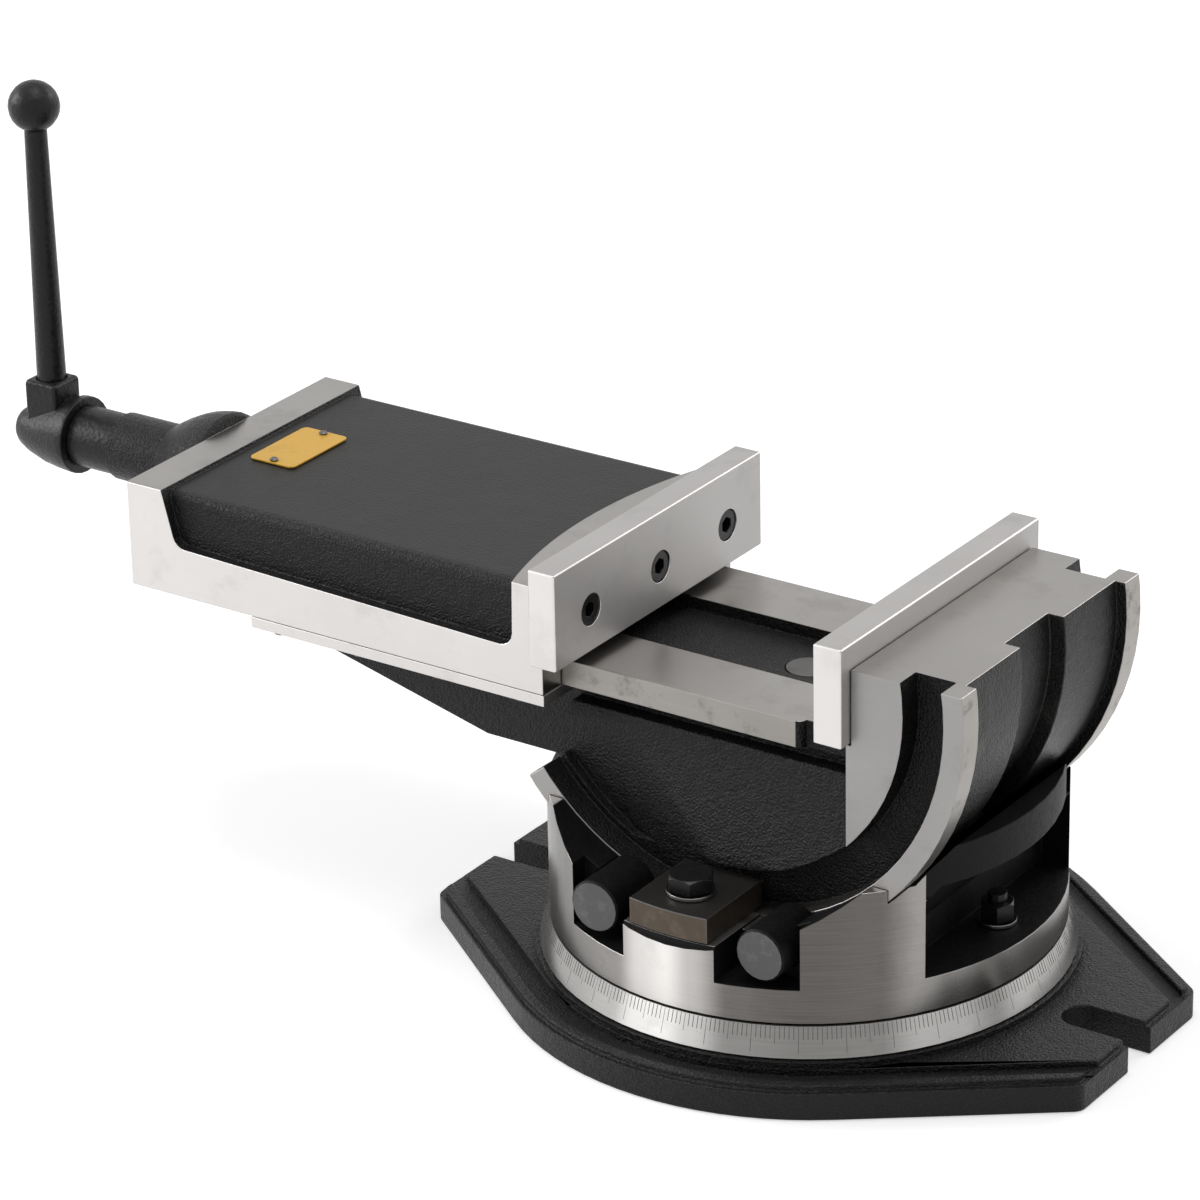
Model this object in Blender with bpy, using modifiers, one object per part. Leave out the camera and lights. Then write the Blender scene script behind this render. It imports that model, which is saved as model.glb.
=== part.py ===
# Swivel tilting bench vise, modelled as separate pieces on their real joint axes.
# X is the slide direction, with the fixed jaw at +X and the crank at -X.
# Y is the jaw width. The origin is on the swivel axis at the underside of the base.
import math

import bmesh
import bpy
from mathutils import Matrix, Vector

mm = 0.001

# Shared fits and finish
seat_gap = 0.3 * mm
run_gap = 0.4 * mm
overrun = 3 * mm
merge_distance = 0.001 * mm
fine_steps = 72
round_steps = 28
small_steps = 20
pin_steps = 10

# Base casting
base_margin = 15.5 * mm
base_ear_run = 26 * mm
base_ear_half = 45.6 * mm
base_thickness = 14 * mm
base_edge_round = 2.5 * mm
base_ear_round = 6 * mm
boss_ledge = 2 * mm
boss_rise = 2.7 * mm
bolt_slot_width = 17 * mm
bolt_slot_length = 34 * mm
rim_width = 7 * mm
trough_width = 8 * mm
trough_depth = 2.6 * mm

# Degree ring round the turntable
ring_top_radius = 105 * mm
ring_top_width = 6 * mm
ring_flare = 4.5 * mm
ring_height = 12.8 * mm

# Swivel lock bolts in their ring slot
lock_circle_inset = 17 * mm
lock_bolt_radius = 4 * mm
lock_head_side = 15 * mm
lock_head_width = 10 * mm
lock_head_height = 6 * mm
lock_slot_floor = 13 * mm
lock_slot_play = 1.2 * mm
lock_nut_flats = 13 * mm
lock_nut_height = 7.5 * mm
lock_washer_radius = 8 * mm
washer_thickness = 1.6 * mm
lock_bolt_proud = 3.5 * mm

# Swivel pivot
pivot_radius = 18 * mm
pivot_foot = 5 * mm
pivot_rise = 10.4 * mm

# Drum, and the cradle's floor under it
saddle_floor = 17.5 * mm
drum_overhang = 7 * mm
drum_core_inset = 4.5 * mm
clamp_shelf = 36.5 * mm
lip_depth = 9.2 * mm
lip_width = 11.5 * mm
lip_left_angle = math.radians(217.5)
crescent_inset = 26.7 * mm
crescent_left = 60 * mm
core_channel_half = 16.5 * mm
core_channel_depth = 7 * mm
core_channel_end_angle = math.radians(-48)

# Swivel body
body_wall_rise = 38.4 * mm
body_high_wall_rise = 50.4 * mm
body_high_wall_half = 48 * mm
body_wall_fall_half = 60 * mm
cheek_relief = 0.4 * mm
pocket_rise = 14.9 * mm
front_pocket_inset = 13.5 * mm
front_pocket_half = 52.9 * mm
pad_half = 21.2 * mm
pad_rise = 12.7 * mm
side_pocket_half = 56 * mm
side_pocket_room = 12 * mm
side_pocket_inner_rise = 12.4 * mm
side_pocket_wall = 10.1 * mm
side_pocket_roof_rise = 34.4 * mm
hidden_pocket_roof_rise = 24.4 * mm
wall_relief_depth = 1.8 * mm

# Stop pins in the front and back pockets
pin_radius = 11 * mm
pin_at = 38.5 * mm
pin_rise = 11.4 * mm
pin_face_inset = 8 * mm
pin_edge_chamfer = 0.8 * mm

# Tilt clamps
clamp_half = 18 * mm
clamp_thickness = 10.9 * mm
clamp_toe_reach = 5.8 * mm
clamp_front_margin = 0.9 * mm
clamp_bolt_set = 17.5 * mm
clamp_bolt_radius = 5 * mm
clamp_bolt_depth = 24 * mm
clamp_head_flats = 17 * mm
clamp_head_height = 6.4 * mm
clamp_washer_radius = 10 * mm
clamp_edge_round = 1.2 * mm
crown_slope_share = 0.58

# Bed and ways
ways_drop = 20 * mm
way_side_inset = 13.2 * mm
way_band_height = 11.5 * mm
way_inner_half = 22.6 * mm
channel_depth = 5.6 * mm
way_right_end = 32 * mm
way_end_round = 3 * mm
bed_rear = -240 * mm
tail_side_inset = 24 * mm
tail_end_depth = 21 * mm
tail_knee_at = -126 * mm
tail_belly_drop = 69 * mm
side_plate_inset = 2.5 * mm
side_plate_top_inset = 17.5 * mm
side_plate_full_drop = 80 * mm
side_plate_trim = 6.3 * mm
side_plate_left_inset = 15.9 * mm
side_plate_swell_from = -52 * mm
side_plate_swell_to = -2 * mm
side_plate_left_foot_drop = 56 * mm
side_ledge_drop = 19.2 * mm
rear_channel_depth = 12.4 * mm
rear_channel_end = -156 * mm
rear_channel_half = 19 * mm
flange_overhang = 3.3 * mm
plug_radius = 9 * mm
plug_thickness = 3 * mm

# Jaw plates
plate_side_reach = 6.5 * mm
plate_height = 41.7 * mm
plate_thickness = 12.65 * mm
plate_foot_gap = 3.6 * mm
plate_chamfer = 0.6 * mm
jaw_opening = 119 * mm
moving_plate_front = -69.8 * mm
fixed_jaw_drop = 10.3 * mm
moving_jaw_drop = 10.3 * mm
plate_screw_edge = 25.5 * mm
plate_screw_rise = 18 * mm
plate_screw_radius = 4 * mm
plate_screw_head_radius = 6.5 * mm
plate_screw_head_height = 8 * mm
plate_screw_length = 15 * mm
plate_screw_sink = 0.6 * mm
plate_socket_flats = 6 * mm
plate_socket_depth = 4.5 * mm

# Moving jaw
moving_jaw_length = 219 * mm
moving_plate_proud = 11 * mm
skirt_below_plate = 14.9 * mm
rear_wall = 19.5 * mm
recess_rear_wall = 18 * mm
front_wall = 12.1 * mm
recess_lean = 6.4 * mm
recess_front_lean = 0.7 * mm
recess_rear_rise = 22 * mm
recess_front_rise = 17.7 * mm
recess_corner = 6 * mm
recess_depth = 4.5 * mm
top_drop = 1.8 * mm
inner_edge_round = 4 * mm
land_bulge = 11 * mm
hollow_side_room = 1.5 * mm
hollow_front = -97 * mm

# Keep plates under the skirts
keep_rear_inset = 61.8 * mm
keep_thickness = 4.9 * mm
keep_grip = 10.3 * mm
keep_edge_inset = 0.4 * mm
keep_screw_rear_inset = 11 * mm
keep_screw_front_inset = 14.3 * mm
keep_screw_edge = 6.5 * mm
keep_screw_count = 4
keep_screw_radius = 2.5 * mm
keep_screw_head_radius = 4.3 * mm
keep_screw_head_height = 1.8 * mm
keep_screw_length = 12 * mm

# Lead screw, its nut and thrust collar
screw_rise = 14.5 * mm
screw_radius = 10 * mm
screw_front = -100 * mm
screw_end_chamfer = 1.5 * mm
nut_rear = -140 * mm
nut_length = 28 * mm
nut_half_width = 20 * mm
nut_cover = 13.5 * mm
nut_screw_offset = 15.2 * mm
nut_screw_radius = 2 * mm
nut_screw_head_radius = 3.4 * mm
nut_screw_head_height = 2.2 * mm
nut_screw_depth = 12 * mm
collar_radius = 13.5 * mm
collar_length = 8 * mm
bearing_radius = 26 * mm
bearing_full_run = 1.2 * mm
bearing_fall_power = 1.8
bearing_root_radius = 19 * mm
bearing_wall_round = 1.5 * mm
nose_radius = 14.7 * mm
bearing_fall_run = 29.2 * mm
bearing_length = 56.8 * mm

# Crank
thrust_collar_radius = 13.5 * mm
thrust_collar_length = 21.8 * mm
hub_radius = 17 * mm
hub_length = 34.5 * mm
hub_bore_depth = 15 * mm
hub_length_shares = (0, 0.1, 0.25, 0.47, 0.75, 0.9, 0.97, 1)
hub_radius_shares = (1, 1, 0.93, 0.82, 0.65, 0.53, 0.42, 0.2)
hub_sag_shares = (0, 0, -0.05, -0.11, -0.13, -0.11, -0.1, -0.1)
block_side = 17.5 * mm
block_rise = 6.5 * mm
block_edge_round = 2 * mm
lever_set_back = 17 * mm
lever_foot_radius = 6.5 * mm
lever_tip_radius = 4.85 * mm
lever_sink = 8 * mm
lever_stud_radius = 3.5 * mm
lever_stud_length = 9 * mm
ball_height = 146.5 * mm
ball_radius = 11.15 * mm
ball_flat_share = 0.86
hub_pin_radius = 2.5 * mm
hub_pin_set_back = 4.2 * mm
hub_pin_foot = 16.2 * mm
hub_pin_reach = 13.5 * mm

# Name plate, left bare
tag_length = 39 * mm
tag_width = 23 * mm
tag_thickness = 0.8 * mm
tag_corner = 2.5 * mm
tag_rear_inset = 37.3 * mm
rivet_spacing = 34 * mm
rivet_shank_radius = 1 * mm
rivet_head_radius = 1.9 * mm
rivet_head_height = 0.9 * mm
rivet_length = 2.2 * mm
rivet_crown_share = 0.6
rivet_edge_share = 0.3

# Places that follow from the sizes above
turntable_radius = ring_top_radius - ring_top_width
ring_foot_radius = ring_top_radius + ring_flare
boss_radius = ring_foot_radius + boss_ledge
base_radius = boss_radius + base_margin
base_ear_reach = base_radius + base_ear_run
lock_circle_radius = ring_top_radius - lock_circle_inset
side_pocket_inner = lock_circle_radius - side_pocket_room
wall_relief_radius = ring_top_radius - wall_relief_depth
pin_face_at = ring_top_radius - pin_face_inset
drum_radius = ring_top_radius + drum_overhang
drum_core_radius = drum_radius - drum_core_inset
lip_inner_radius = drum_radius - lip_depth
crescent_radius = drum_radius - crescent_inset
drum_half_width = ring_top_radius - clamp_shelf
front_pocket_depth_at = drum_half_width + front_pocket_inset
clamp_toe_back = drum_half_width - clamp_toe_reach
clamp_bolt_at = drum_half_width + clamp_bolt_set
way_half_width = drum_half_width - way_side_inset
neck_half_width = way_half_width - flange_overhang
tail_half_width = drum_half_width - tail_side_inset
side_plate_half = drum_half_width - side_plate_inset
side_plate_top_half = drum_half_width - side_plate_top_inset
side_plate_left_half = drum_half_width - side_plate_left_inset
side_plate_left = side_plate_trim - crescent_radius
jaw_half_width = drum_half_width
plate_half_width = jaw_half_width + plate_side_reach
plate_screw_spacing = plate_half_width - plate_screw_edge
inner_body_half = jaw_half_width - recess_depth
hollow_half = nut_half_width + hollow_side_room
keep_inner_half = way_half_width - keep_grip
keep_screw_line = jaw_half_width - keep_screw_edge
boss_top = base_thickness + boss_rise
ring_foot = boss_top + seat_gap
turntable_top = ring_foot + ring_height
body_floor = turntable_top + seat_gap
lock_slot_roof = lock_slot_floor + lock_head_height + 2 * run_gap
saddle_radius = drum_radius + run_gap
drum_foot = body_floor + saddle_floor
tilt_height = drum_foot + saddle_radius
ways_height = tilt_height - ways_drop
screw_height = ways_height + screw_rise
nut_top = screw_height + nut_cover
hollow_top = nut_top + 2 * seat_gap
pivot_reach = body_floor + pivot_rise
body_wall_top = drum_foot + body_wall_rise
body_high_wall_top = drum_foot + body_high_wall_rise
pocket_floor = body_floor + pocket_rise
pad_top = drum_foot + pad_rise
pin_height = drum_foot + pin_rise
side_pocket_inner_top = drum_foot + side_pocket_inner_rise
side_pocket_ceiling = drum_foot + side_pocket_roof_rise
hidden_pocket_ceiling = drum_foot + hidden_pocket_roof_rise
tail_belly_height = tilt_height - tail_belly_drop
side_plate_left_foot = tilt_height - side_plate_left_foot_drop
side_plate_full_height = tilt_height - side_plate_full_drop
side_ledge_height = ways_height - side_ledge_drop
rear_channel_height = ways_height - rear_channel_depth
saddle_half = drum_half_width + seat_gap
cheek_radius = lip_inner_radius + cheek_relief
pad_front_radius = ring_top_radius - clamp_front_margin
lip_root = drum_half_width - lip_width
core_height = ways_height - channel_depth
band_foot = ways_height - way_band_height
plate_foot = ways_height + plate_foot_gap
plate_top = plate_foot + plate_height
fixed_plate_front = moving_plate_front + jaw_opening
fixed_jaw_face = fixed_plate_front + plate_thickness + seat_gap
fixed_jaw_top = plate_top - fixed_jaw_drop
moving_jaw_rear = moving_plate_front - moving_jaw_length
moving_jaw_front = moving_plate_front - moving_plate_proud
keep_front = moving_jaw_front
keep_rear = moving_jaw_rear + keep_rear_inset
keep_screw_first = keep_rear + keep_screw_rear_inset
keep_screw_run = keep_front - keep_screw_front_inset - keep_screw_first
keep_screw_spacing = keep_screw_run / (keep_screw_count - 1)
hollow_rear = moving_jaw_rear + rear_wall
bearing_full_at = moving_jaw_rear - bearing_full_run
nose_start = moving_jaw_rear - bearing_fall_run
nose_end = moving_jaw_rear - bearing_length
tag_at = moving_jaw_rear + tag_rear_inset
rebate_face = moving_plate_front - plate_thickness - seat_gap
moving_jaw_top = plate_top - moving_jaw_drop
inner_top = moving_jaw_top - top_drop
skirt_foot = plate_foot - skirt_below_plate
plate_screw_height = plate_foot + plate_screw_rise
lever_block_top = hub_radius + block_rise
thrust_face = nose_end - seat_gap
hub_front = thrust_face - thrust_collar_length - seat_gap
lever_at = hub_front - lever_set_back
hub_pin_at = hub_front - hub_pin_set_back

colours = {
    "cast_black": ((0.016, 0.016, 0.017, 1), 0.62, 0.15),
    "machined": ((0.55, 0.53, 0.51, 1), 0.34, 1.0),
    "ground": ((0.66, 0.645, 0.63, 1), 0.28, 1.0),
    "oiled": ((0.10, 0.075, 0.052, 1), 0.5, 0.8),
    "dark_steel": ((0.045, 0.045, 0.047, 1), 0.42, 0.9),
    "pin_steel": ((0.22, 0.22, 0.22, 1), 0.36, 1.0),
    "yellow_plate": ((0.68, 0.40, 0.045, 1), 0.4, 0.3),
    "brass": ((0.5, 0.32, 0.1, 1), 0.35, 1.0),
}


# Scene and material helpers
def clear_scene():
    for item in list(bpy.data.objects):
        bpy.data.objects.remove(item, do_unlink=True)


def new_collection(name):
    group = bpy.data.collections.new(name)
    bpy.context.scene.collection.children.link(group)
    return group


def material(name):
    found = bpy.data.materials.get(name)
    if found:
        return found
    made = bpy.data.materials.new(name)
    made.use_nodes = True
    shader = made.node_tree.nodes["Principled BSDF"]
    colour, roughness, metallic = colours[name]
    shader.inputs["Base Color"].default_value = colour
    shader.inputs["Roughness"].default_value = roughness
    shader.inputs["Metallic"].default_value = metallic
    return made


def add_object(name, mesh, finish=None):
    made = bpy.data.objects.new(name, mesh)
    if finish:
        parts.objects.link(made)
        mesh.materials.append(material(finish))
    else:
        cutters.objects.link(made)
        made.hide_render = True
        made.display_type = "WIRE"
    return made


def smooth(thing, degrees=35):
    thing.data.shade_smooth()
    thing.data.set_sharp_from_angle(angle=math.radians(degrees))


def combine(target, other, operation):
    step = target.modifiers.new(operation.lower() + "_" + other.name, "BOOLEAN")
    step.operation = operation
    step.object = other
    step.solver = "EXACT"
    return target


def cut(target, *others):
    for other in others:
        combine(target, other, "DIFFERENCE")


def join(target, *others):
    for other in others:
        combine(target, other, "UNION")


def soften(target, width, segments=2, degrees=40):
    edge = target.modifiers.new("edge_round", "BEVEL")
    edge.width = width
    edge.segments = segments
    edge.limit_method = "ANGLE"
    edge.angle_limit = math.radians(degrees)


# Solids
turn_to_side = Matrix.Rotation(math.radians(90), 4, "X")
turn_to_end = Matrix(((0, 0, 1, 0), (1, 0, 0, 0), (0, 1, 0, 0), (0, 0, 0, 1)))
turns = {"top": Matrix.Identity(4), "side": turn_to_side, "end": turn_to_end}


def mesh_from(shape):
    mesh = bpy.data.meshes.new("solid")
    bmesh.ops.remove_doubles(shape, verts=shape.verts, dist=merge_distance)
    bmesh.ops.recalc_face_normals(shape, faces=shape.faces)
    shape.to_mesh(mesh)
    shape.free()
    return mesh


def arc(radius, start, end, steps, centre=(0, 0)):
    turn = (end - start) / steps
    return [(centre[0] + radius * math.cos(start + turn * i),
             centre[1] + radius * math.sin(start + turn * i)) for i in range(steps + 1)]


def extruded(name, outline, low, high, view="top", finish=None):
    curve = bpy.data.curves.new(name, "CURVE")
    curve.dimensions = "2D"
    curve.fill_mode = "BOTH"
    curve.extrude = (high - low) / 2
    line = curve.splines.new("POLY")
    line.points.add(len(outline) - 1)
    for point, (u, v) in zip(line.points, outline):
        point.co = (u, v, 0, 1)
    line.use_cyclic_u = True
    holder = bpy.data.objects.new(name, curve)
    bpy.context.scene.collection.objects.link(holder)
    depsgraph = bpy.context.evaluated_depsgraph_get()
    flat = bpy.data.meshes.new_from_object(holder.evaluated_get(depsgraph))
    bpy.data.objects.remove(holder, do_unlink=True)
    shape = bmesh.new()
    shape.from_mesh(flat)
    bpy.data.meshes.remove(flat)
    middle = (high + low) / 2
    lift = -middle if view == "side" else middle
    shape.transform(turns[view] @ Matrix.Translation((0, 0, lift)))
    return add_object(name, mesh_from(shape), finish)


def box(name, low, high, finish=None):
    shape = bmesh.new()
    bmesh.ops.create_cube(shape, size=1)
    size = Vector(high) - Vector(low)
    centre = (Vector(high) + Vector(low)) / 2
    shape.transform(Matrix.Translation(centre) @ Matrix.Diagonal((*size, 1)))
    return add_object(name, mesh_from(shape), finish)


def axis_frame(axis, place=(0, 0, 0)):
    if axis == "x":
        turn = Matrix.Rotation(math.radians(90), 4, "Y")
    elif axis == "y":
        turn = Matrix.Rotation(math.radians(-90), 4, "X")
    else:
        turn = Matrix.Identity(4)
    return Matrix.Translation(place) @ turn


def rod(name, radius, low, high, axis="z", place=(0, 0, 0), steps=round_steps, finish=None):
    shape = bmesh.new()
    middle = Matrix.Translation((0, 0, (low + high) / 2))
    bmesh.ops.create_cone(shape, cap_ends=True, segments=steps, radius1=radius,
                          radius2=radius, depth=high - low)
    shape.transform(axis_frame(axis, place) @ middle)
    return add_object(name, mesh_from(shape), finish)


def turned(name, profile, axis="z", place=(0, 0, 0), steps=round_steps, finish=None):
    mesh = bpy.data.meshes.new(name)
    shape = bmesh.new()
    corners = [shape.verts.new((radius, 0, along)) for radius, along in profile]
    for first, second in zip(corners, corners[1:]):
        shape.edges.new((first, second))
    if profile[0][0] > 0:
        shape.edges.new((corners[-1], corners[0]))
    shape.to_mesh(mesh)
    shape.free()
    made = add_object(name, mesh, finish)
    made.matrix_world = axis_frame(axis, place)
    spin = made.modifiers.new("spin", "SCREW")
    spin.steps = steps
    spin.render_steps = steps
    spin.use_merge_vertices = True
    spin.merge_threshold = merge_distance
    spin.use_smooth_shade = False
    return made


def rounded_corner(before, corner, after, radius, steps=4):
    first = Vector(before) - Vector(corner)
    second = Vector(after) - Vector(corner)
    first.normalize()
    second.normalize()
    half = first.angle(second) / 2
    middle = Vector(corner) + (first + second).normalized() * radius / math.sin(half)
    start = Vector(corner) + first * radius / math.tan(half) - middle
    sweep = (math.pi - 2 * half)
    turn_side = 1 if first.x * second.y - first.y * second.x < 0 else -1
    points = []
    for i in range(steps + 1):
        angle = turn_side * sweep * i / steps
        spun = Vector((start.x * math.cos(angle) - start.y * math.sin(angle),
                       start.x * math.sin(angle) + start.y * math.cos(angle)))
        points.append(tuple(middle + spun))
    return points


def hex_outline(flats, centre=(0, 0), turn=0):
    corner = flats / math.sqrt(3)
    return [(centre[0] + corner * math.cos(turn + math.pi * i / 3),
             centre[1] + corner * math.sin(turn + math.pi * i / 3)) for i in range(6)]


def height_on_drum(radius, across):
    return tilt_height - math.sqrt(radius ** 2 - across ** 2)


def across_on_drum(radius, height):
    return math.sqrt(radius ** 2 - (height - tilt_height) ** 2)


def drum_arc(radius, start, end, steps):
    return arc(radius, start, end, steps, centre=(0, tilt_height))


def drum_angle(across, height):
    return math.atan2(height - tilt_height, across)


# Pieces of the base
def base_side_path(inset, reach):
    corner_angle = math.atan2(base_ear_half, base_ear_reach)
    corner_distance = math.hypot(base_ear_reach, base_ear_half)
    contact = corner_angle + math.acos(base_radius / corner_distance)
    radius = base_radius - inset
    along = (math.sin(contact), math.cos(contact))
    touch = (radius * math.cos(contact), -radius * math.sin(contact))
    run = (reach - touch[0]) / along[0]
    tip = (reach, touch[1] + run * along[1])
    curve = arc(radius, math.pi + contact, 2 * math.pi - contact, fine_steps // 4)
    return [(-tip[0], tip[1])] + curve + [tip]


def base_outline():
    near = base_side_path(0, base_ear_reach)
    left, right = near[0], near[-1]
    near = (rounded_corner((left[0], 0), left, near[1], base_ear_round) + near[1:-1]
            + rounded_corner(near[-2], right, (right[0], 0), base_ear_round))
    return near + [(x, -y) for x, y in reversed(near)]


def round_top_edges(thing, height, width, segments=2):
    shape = bmesh.new()
    shape.from_mesh(thing.data)
    top = [edge for edge in shape.edges
           if all(abs(vert.co.z - height) < merge_distance for vert in edge.verts)
           and any(abs(face.normal.z) < 0.5 for face in edge.link_faces)]
    bmesh.ops.bevel(shape, geom=top, offset=width, segments=segments, affect="EDGES")
    shape.to_mesh(thing.data)
    shape.free()


def make_base():
    base = extruded("base_casting", base_outline(), 0, base_thickness, finish="cast_black")
    round_top_edges(base, base_thickness, base_edge_round)
    join(base, rod("base_boss", boss_radius, base_thickness - overrun, boss_top, steps=fine_steps))
    join(base, rod("turntable", turntable_radius, base_thickness, turntable_top, steps=fine_steps))
    floor = base_thickness - trough_depth
    for side in (1, -1):
        outer = base_side_path(rim_width, base_ear_reach + overrun)
        inner = base_side_path(rim_width + trough_width, base_ear_reach + overrun)
        band = [(x, side * y) for x, y in outer + inner[::-1]]
        cut(base, extruded("trough", band, floor, base_thickness + overrun))
        slot_half = bolt_slot_width / 2
        slot_centre = base_ear_reach - bolt_slot_length + slot_half
        bend = arc(slot_half, math.pi / 2, 3 * math.pi / 2, small_steps // 2, (slot_centre, 0))
        mouth = base_ear_reach + overrun
        slot = [(side * x, y) for x, y in bend + [(mouth, -slot_half), (mouth, slot_half)]]
        cut(base, extruded("bolt_slot", slot, -overrun, base_thickness + overrun))
    neck_half = lock_bolt_radius + lock_slot_play
    head_half = lock_head_side / 2 + lock_slot_play
    roof = turntable_top + overrun
    ring_slot = [
        (lock_circle_radius + neck_half, roof),
        (lock_circle_radius + neck_half, lock_slot_roof),
        (lock_circle_radius + head_half, lock_slot_roof),
        (lock_circle_radius + head_half, lock_slot_floor),
        (lock_circle_radius - head_half, lock_slot_floor),
        (lock_circle_radius - head_half, lock_slot_roof),
        (lock_circle_radius - neck_half, lock_slot_roof),
        (lock_circle_radius - neck_half, roof),
    ]
    cut(base, turned("ring_slot", ring_slot, steps=fine_steps // 2))
    entry_radius = math.hypot(lock_head_side, lock_head_width) / 2 + run_gap
    for side in (1, -1):
        cut(base, rod("bolt_entry", entry_radius, lock_slot_floor, roof,
                      place=(0, side * lock_circle_radius, 0), steps=small_steps))
    cut(base, rod("pivot_bore", pivot_radius + seat_gap, pivot_foot, roof))
    smooth(base)
    return base


def make_degree_ring():
    bore = turntable_radius + seat_gap
    profile = [
        (ring_top_radius, turntable_top),
        (ring_foot_radius, ring_foot),
        (bore, ring_foot),
        (bore, turntable_top),
    ]
    ring = turned("degree_ring", profile, steps=fine_steps, finish="machined")
    smooth(ring)
    return ring


def make_pivot():
    low = pivot_foot + seat_gap
    high = pivot_reach - seat_gap
    chamfer = pin_edge_chamfer
    profile = [(0, high), (pivot_radius - chamfer, high), (pivot_radius, high - chamfer),
               (pivot_radius, low + chamfer), (pivot_radius - chamfer, low), (0, low)]
    pivot = turned("swivel_pivot", profile, steps=small_steps, finish="pin_steel")
    smooth(pivot)
    return pivot


# Pieces of the swivel body
def side_pocket(name, side, ceiling, top_inner):
    far = ring_top_radius + overrun
    outline = [(side_pocket_inner, pocket_floor), (far, pocket_floor), (far, ceiling),
               (top_inner, ceiling), (side_pocket_inner, side_pocket_inner_top)]
    outline = [(side * x, z) for x, z in outline]
    return extruded(name, outline, -side_pocket_half, side_pocket_half, "side")


def make_swivel_body():
    body = rod("swivel_body", ring_top_radius, body_floor, body_high_wall_top,
               steps=fine_steps, finish="machined")
    far = ring_top_radius + overrun
    roof = body_high_wall_top + overrun
    saddle_top = across_on_drum(saddle_radius, body_high_wall_top)
    wall_root = saddle_top - (body_high_wall_top - body_wall_top)
    cut(body, box("low_wall", (-far, -far, body_wall_top), (wall_root, far, roof)))
    shoulder = [
        (-far, body_wall_top),
        (-body_wall_fall_half, body_wall_top),
        (-body_high_wall_half, body_high_wall_top),
        (-body_high_wall_half, roof),
        (-far, roof),
    ]
    for side in (1, -1):
        fall = [(side * y, z) for y, z in shoulder]
        cut(body, extruded("wall_fall", fall, wall_root - overrun, far, "end"))
    axis_place = (0, 0, tilt_height)
    cut(body, rod("saddle", saddle_radius, -saddle_half, saddle_half, "y", axis_place,
                  steps=fine_steps))
    for side in (1, -1):
        low, high = sorted((side * (saddle_half - overrun), side * far))
        cut(body, rod("cheek_relief", cheek_radius, low, high, "y", axis_place,
                      steps=fine_steps))
        spread = math.asin(pad_half / pad_front_radius)
        front = arc(pad_front_radius, math.pi / 2 - spread, math.pi / 2 + spread, small_steps // 4)
        pad = [(-pad_half, saddle_half), (pad_half, saddle_half)] + front
        pad = [(x, side * y) for x, y in pad]
        join(body, extruded("clamp_pad", pad, pocket_floor - overrun, pad_top))
        low_y, high_y = sorted((side * front_pocket_depth_at, side * far))
        for left, right in ((-front_pocket_half, -pad_half), (pad_half, front_pocket_half)):
            cut(body, box("pin_pocket", (left, low_y, pocket_floor), (right, high_y, roof)))
        low_y, high_y = sorted((side * (saddle_half - overrun), side * far))
        for at in (-pin_at, pin_at):
            cut(body, rod("pin_bore", pin_radius + seat_gap, low_y, high_y, "y",
                          (at, 0, pin_height), steps=small_steps))
        bolt_foot = pad_top - clamp_bolt_depth - seat_gap
        cut(body, rod("clamp_tapping", clamp_bolt_radius + seat_gap, bolt_foot, roof,
                      place=(0, side * clamp_bolt_at, 0), steps=small_steps))
    lean_top = across_on_drum(saddle_radius, side_pocket_ceiling) + side_pocket_wall
    cut(body, side_pocket("right_nut_pocket", 1, side_pocket_ceiling, lean_top))
    cut(body, side_pocket("left_nut_pocket", -1, hidden_pocket_ceiling, side_pocket_inner))
    spread = math.asin(side_pocket_half / wall_relief_radius)
    relief = arc(wall_relief_radius, -spread, spread, small_steps // 2)
    relief += [(far, side_pocket_half), (far, -side_pocket_half)]
    cut(body, extruded("wall_relief", relief, side_pocket_ceiling - overrun, roof))
    for side in (1, -1):
        cut(body, rod("lock_bolt_bore", lock_bolt_radius + run_gap, 0, pocket_floor + overrun,
                      place=(side * lock_circle_radius, 0, 0), steps=small_steps))
    cut(body, rod("pivot_seat", pivot_radius + seat_gap, 0, pivot_reach))
    smooth(body)
    return body


def make_guide_pin(name, at, side):
    inner_end = saddle_half + seat_gap
    chamfer = pin_edge_chamfer
    profile = [
        (0, pin_face_at),
        (pin_radius - chamfer, pin_face_at),
        (pin_radius, pin_face_at - chamfer),
        (pin_radius, inner_end + chamfer),
        (pin_radius - chamfer, inner_end),
        (0, inner_end),
    ]
    pin = turned(name, profile, "y", (at, 0, pin_height), small_steps, "pin_steel")
    if side < 0:
        pin.matrix_world = axis_frame("y", (at, 0, pin_height)) @ Matrix.Rotation(math.pi, 4, "X")
    smooth(pin)
    return pin


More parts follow.
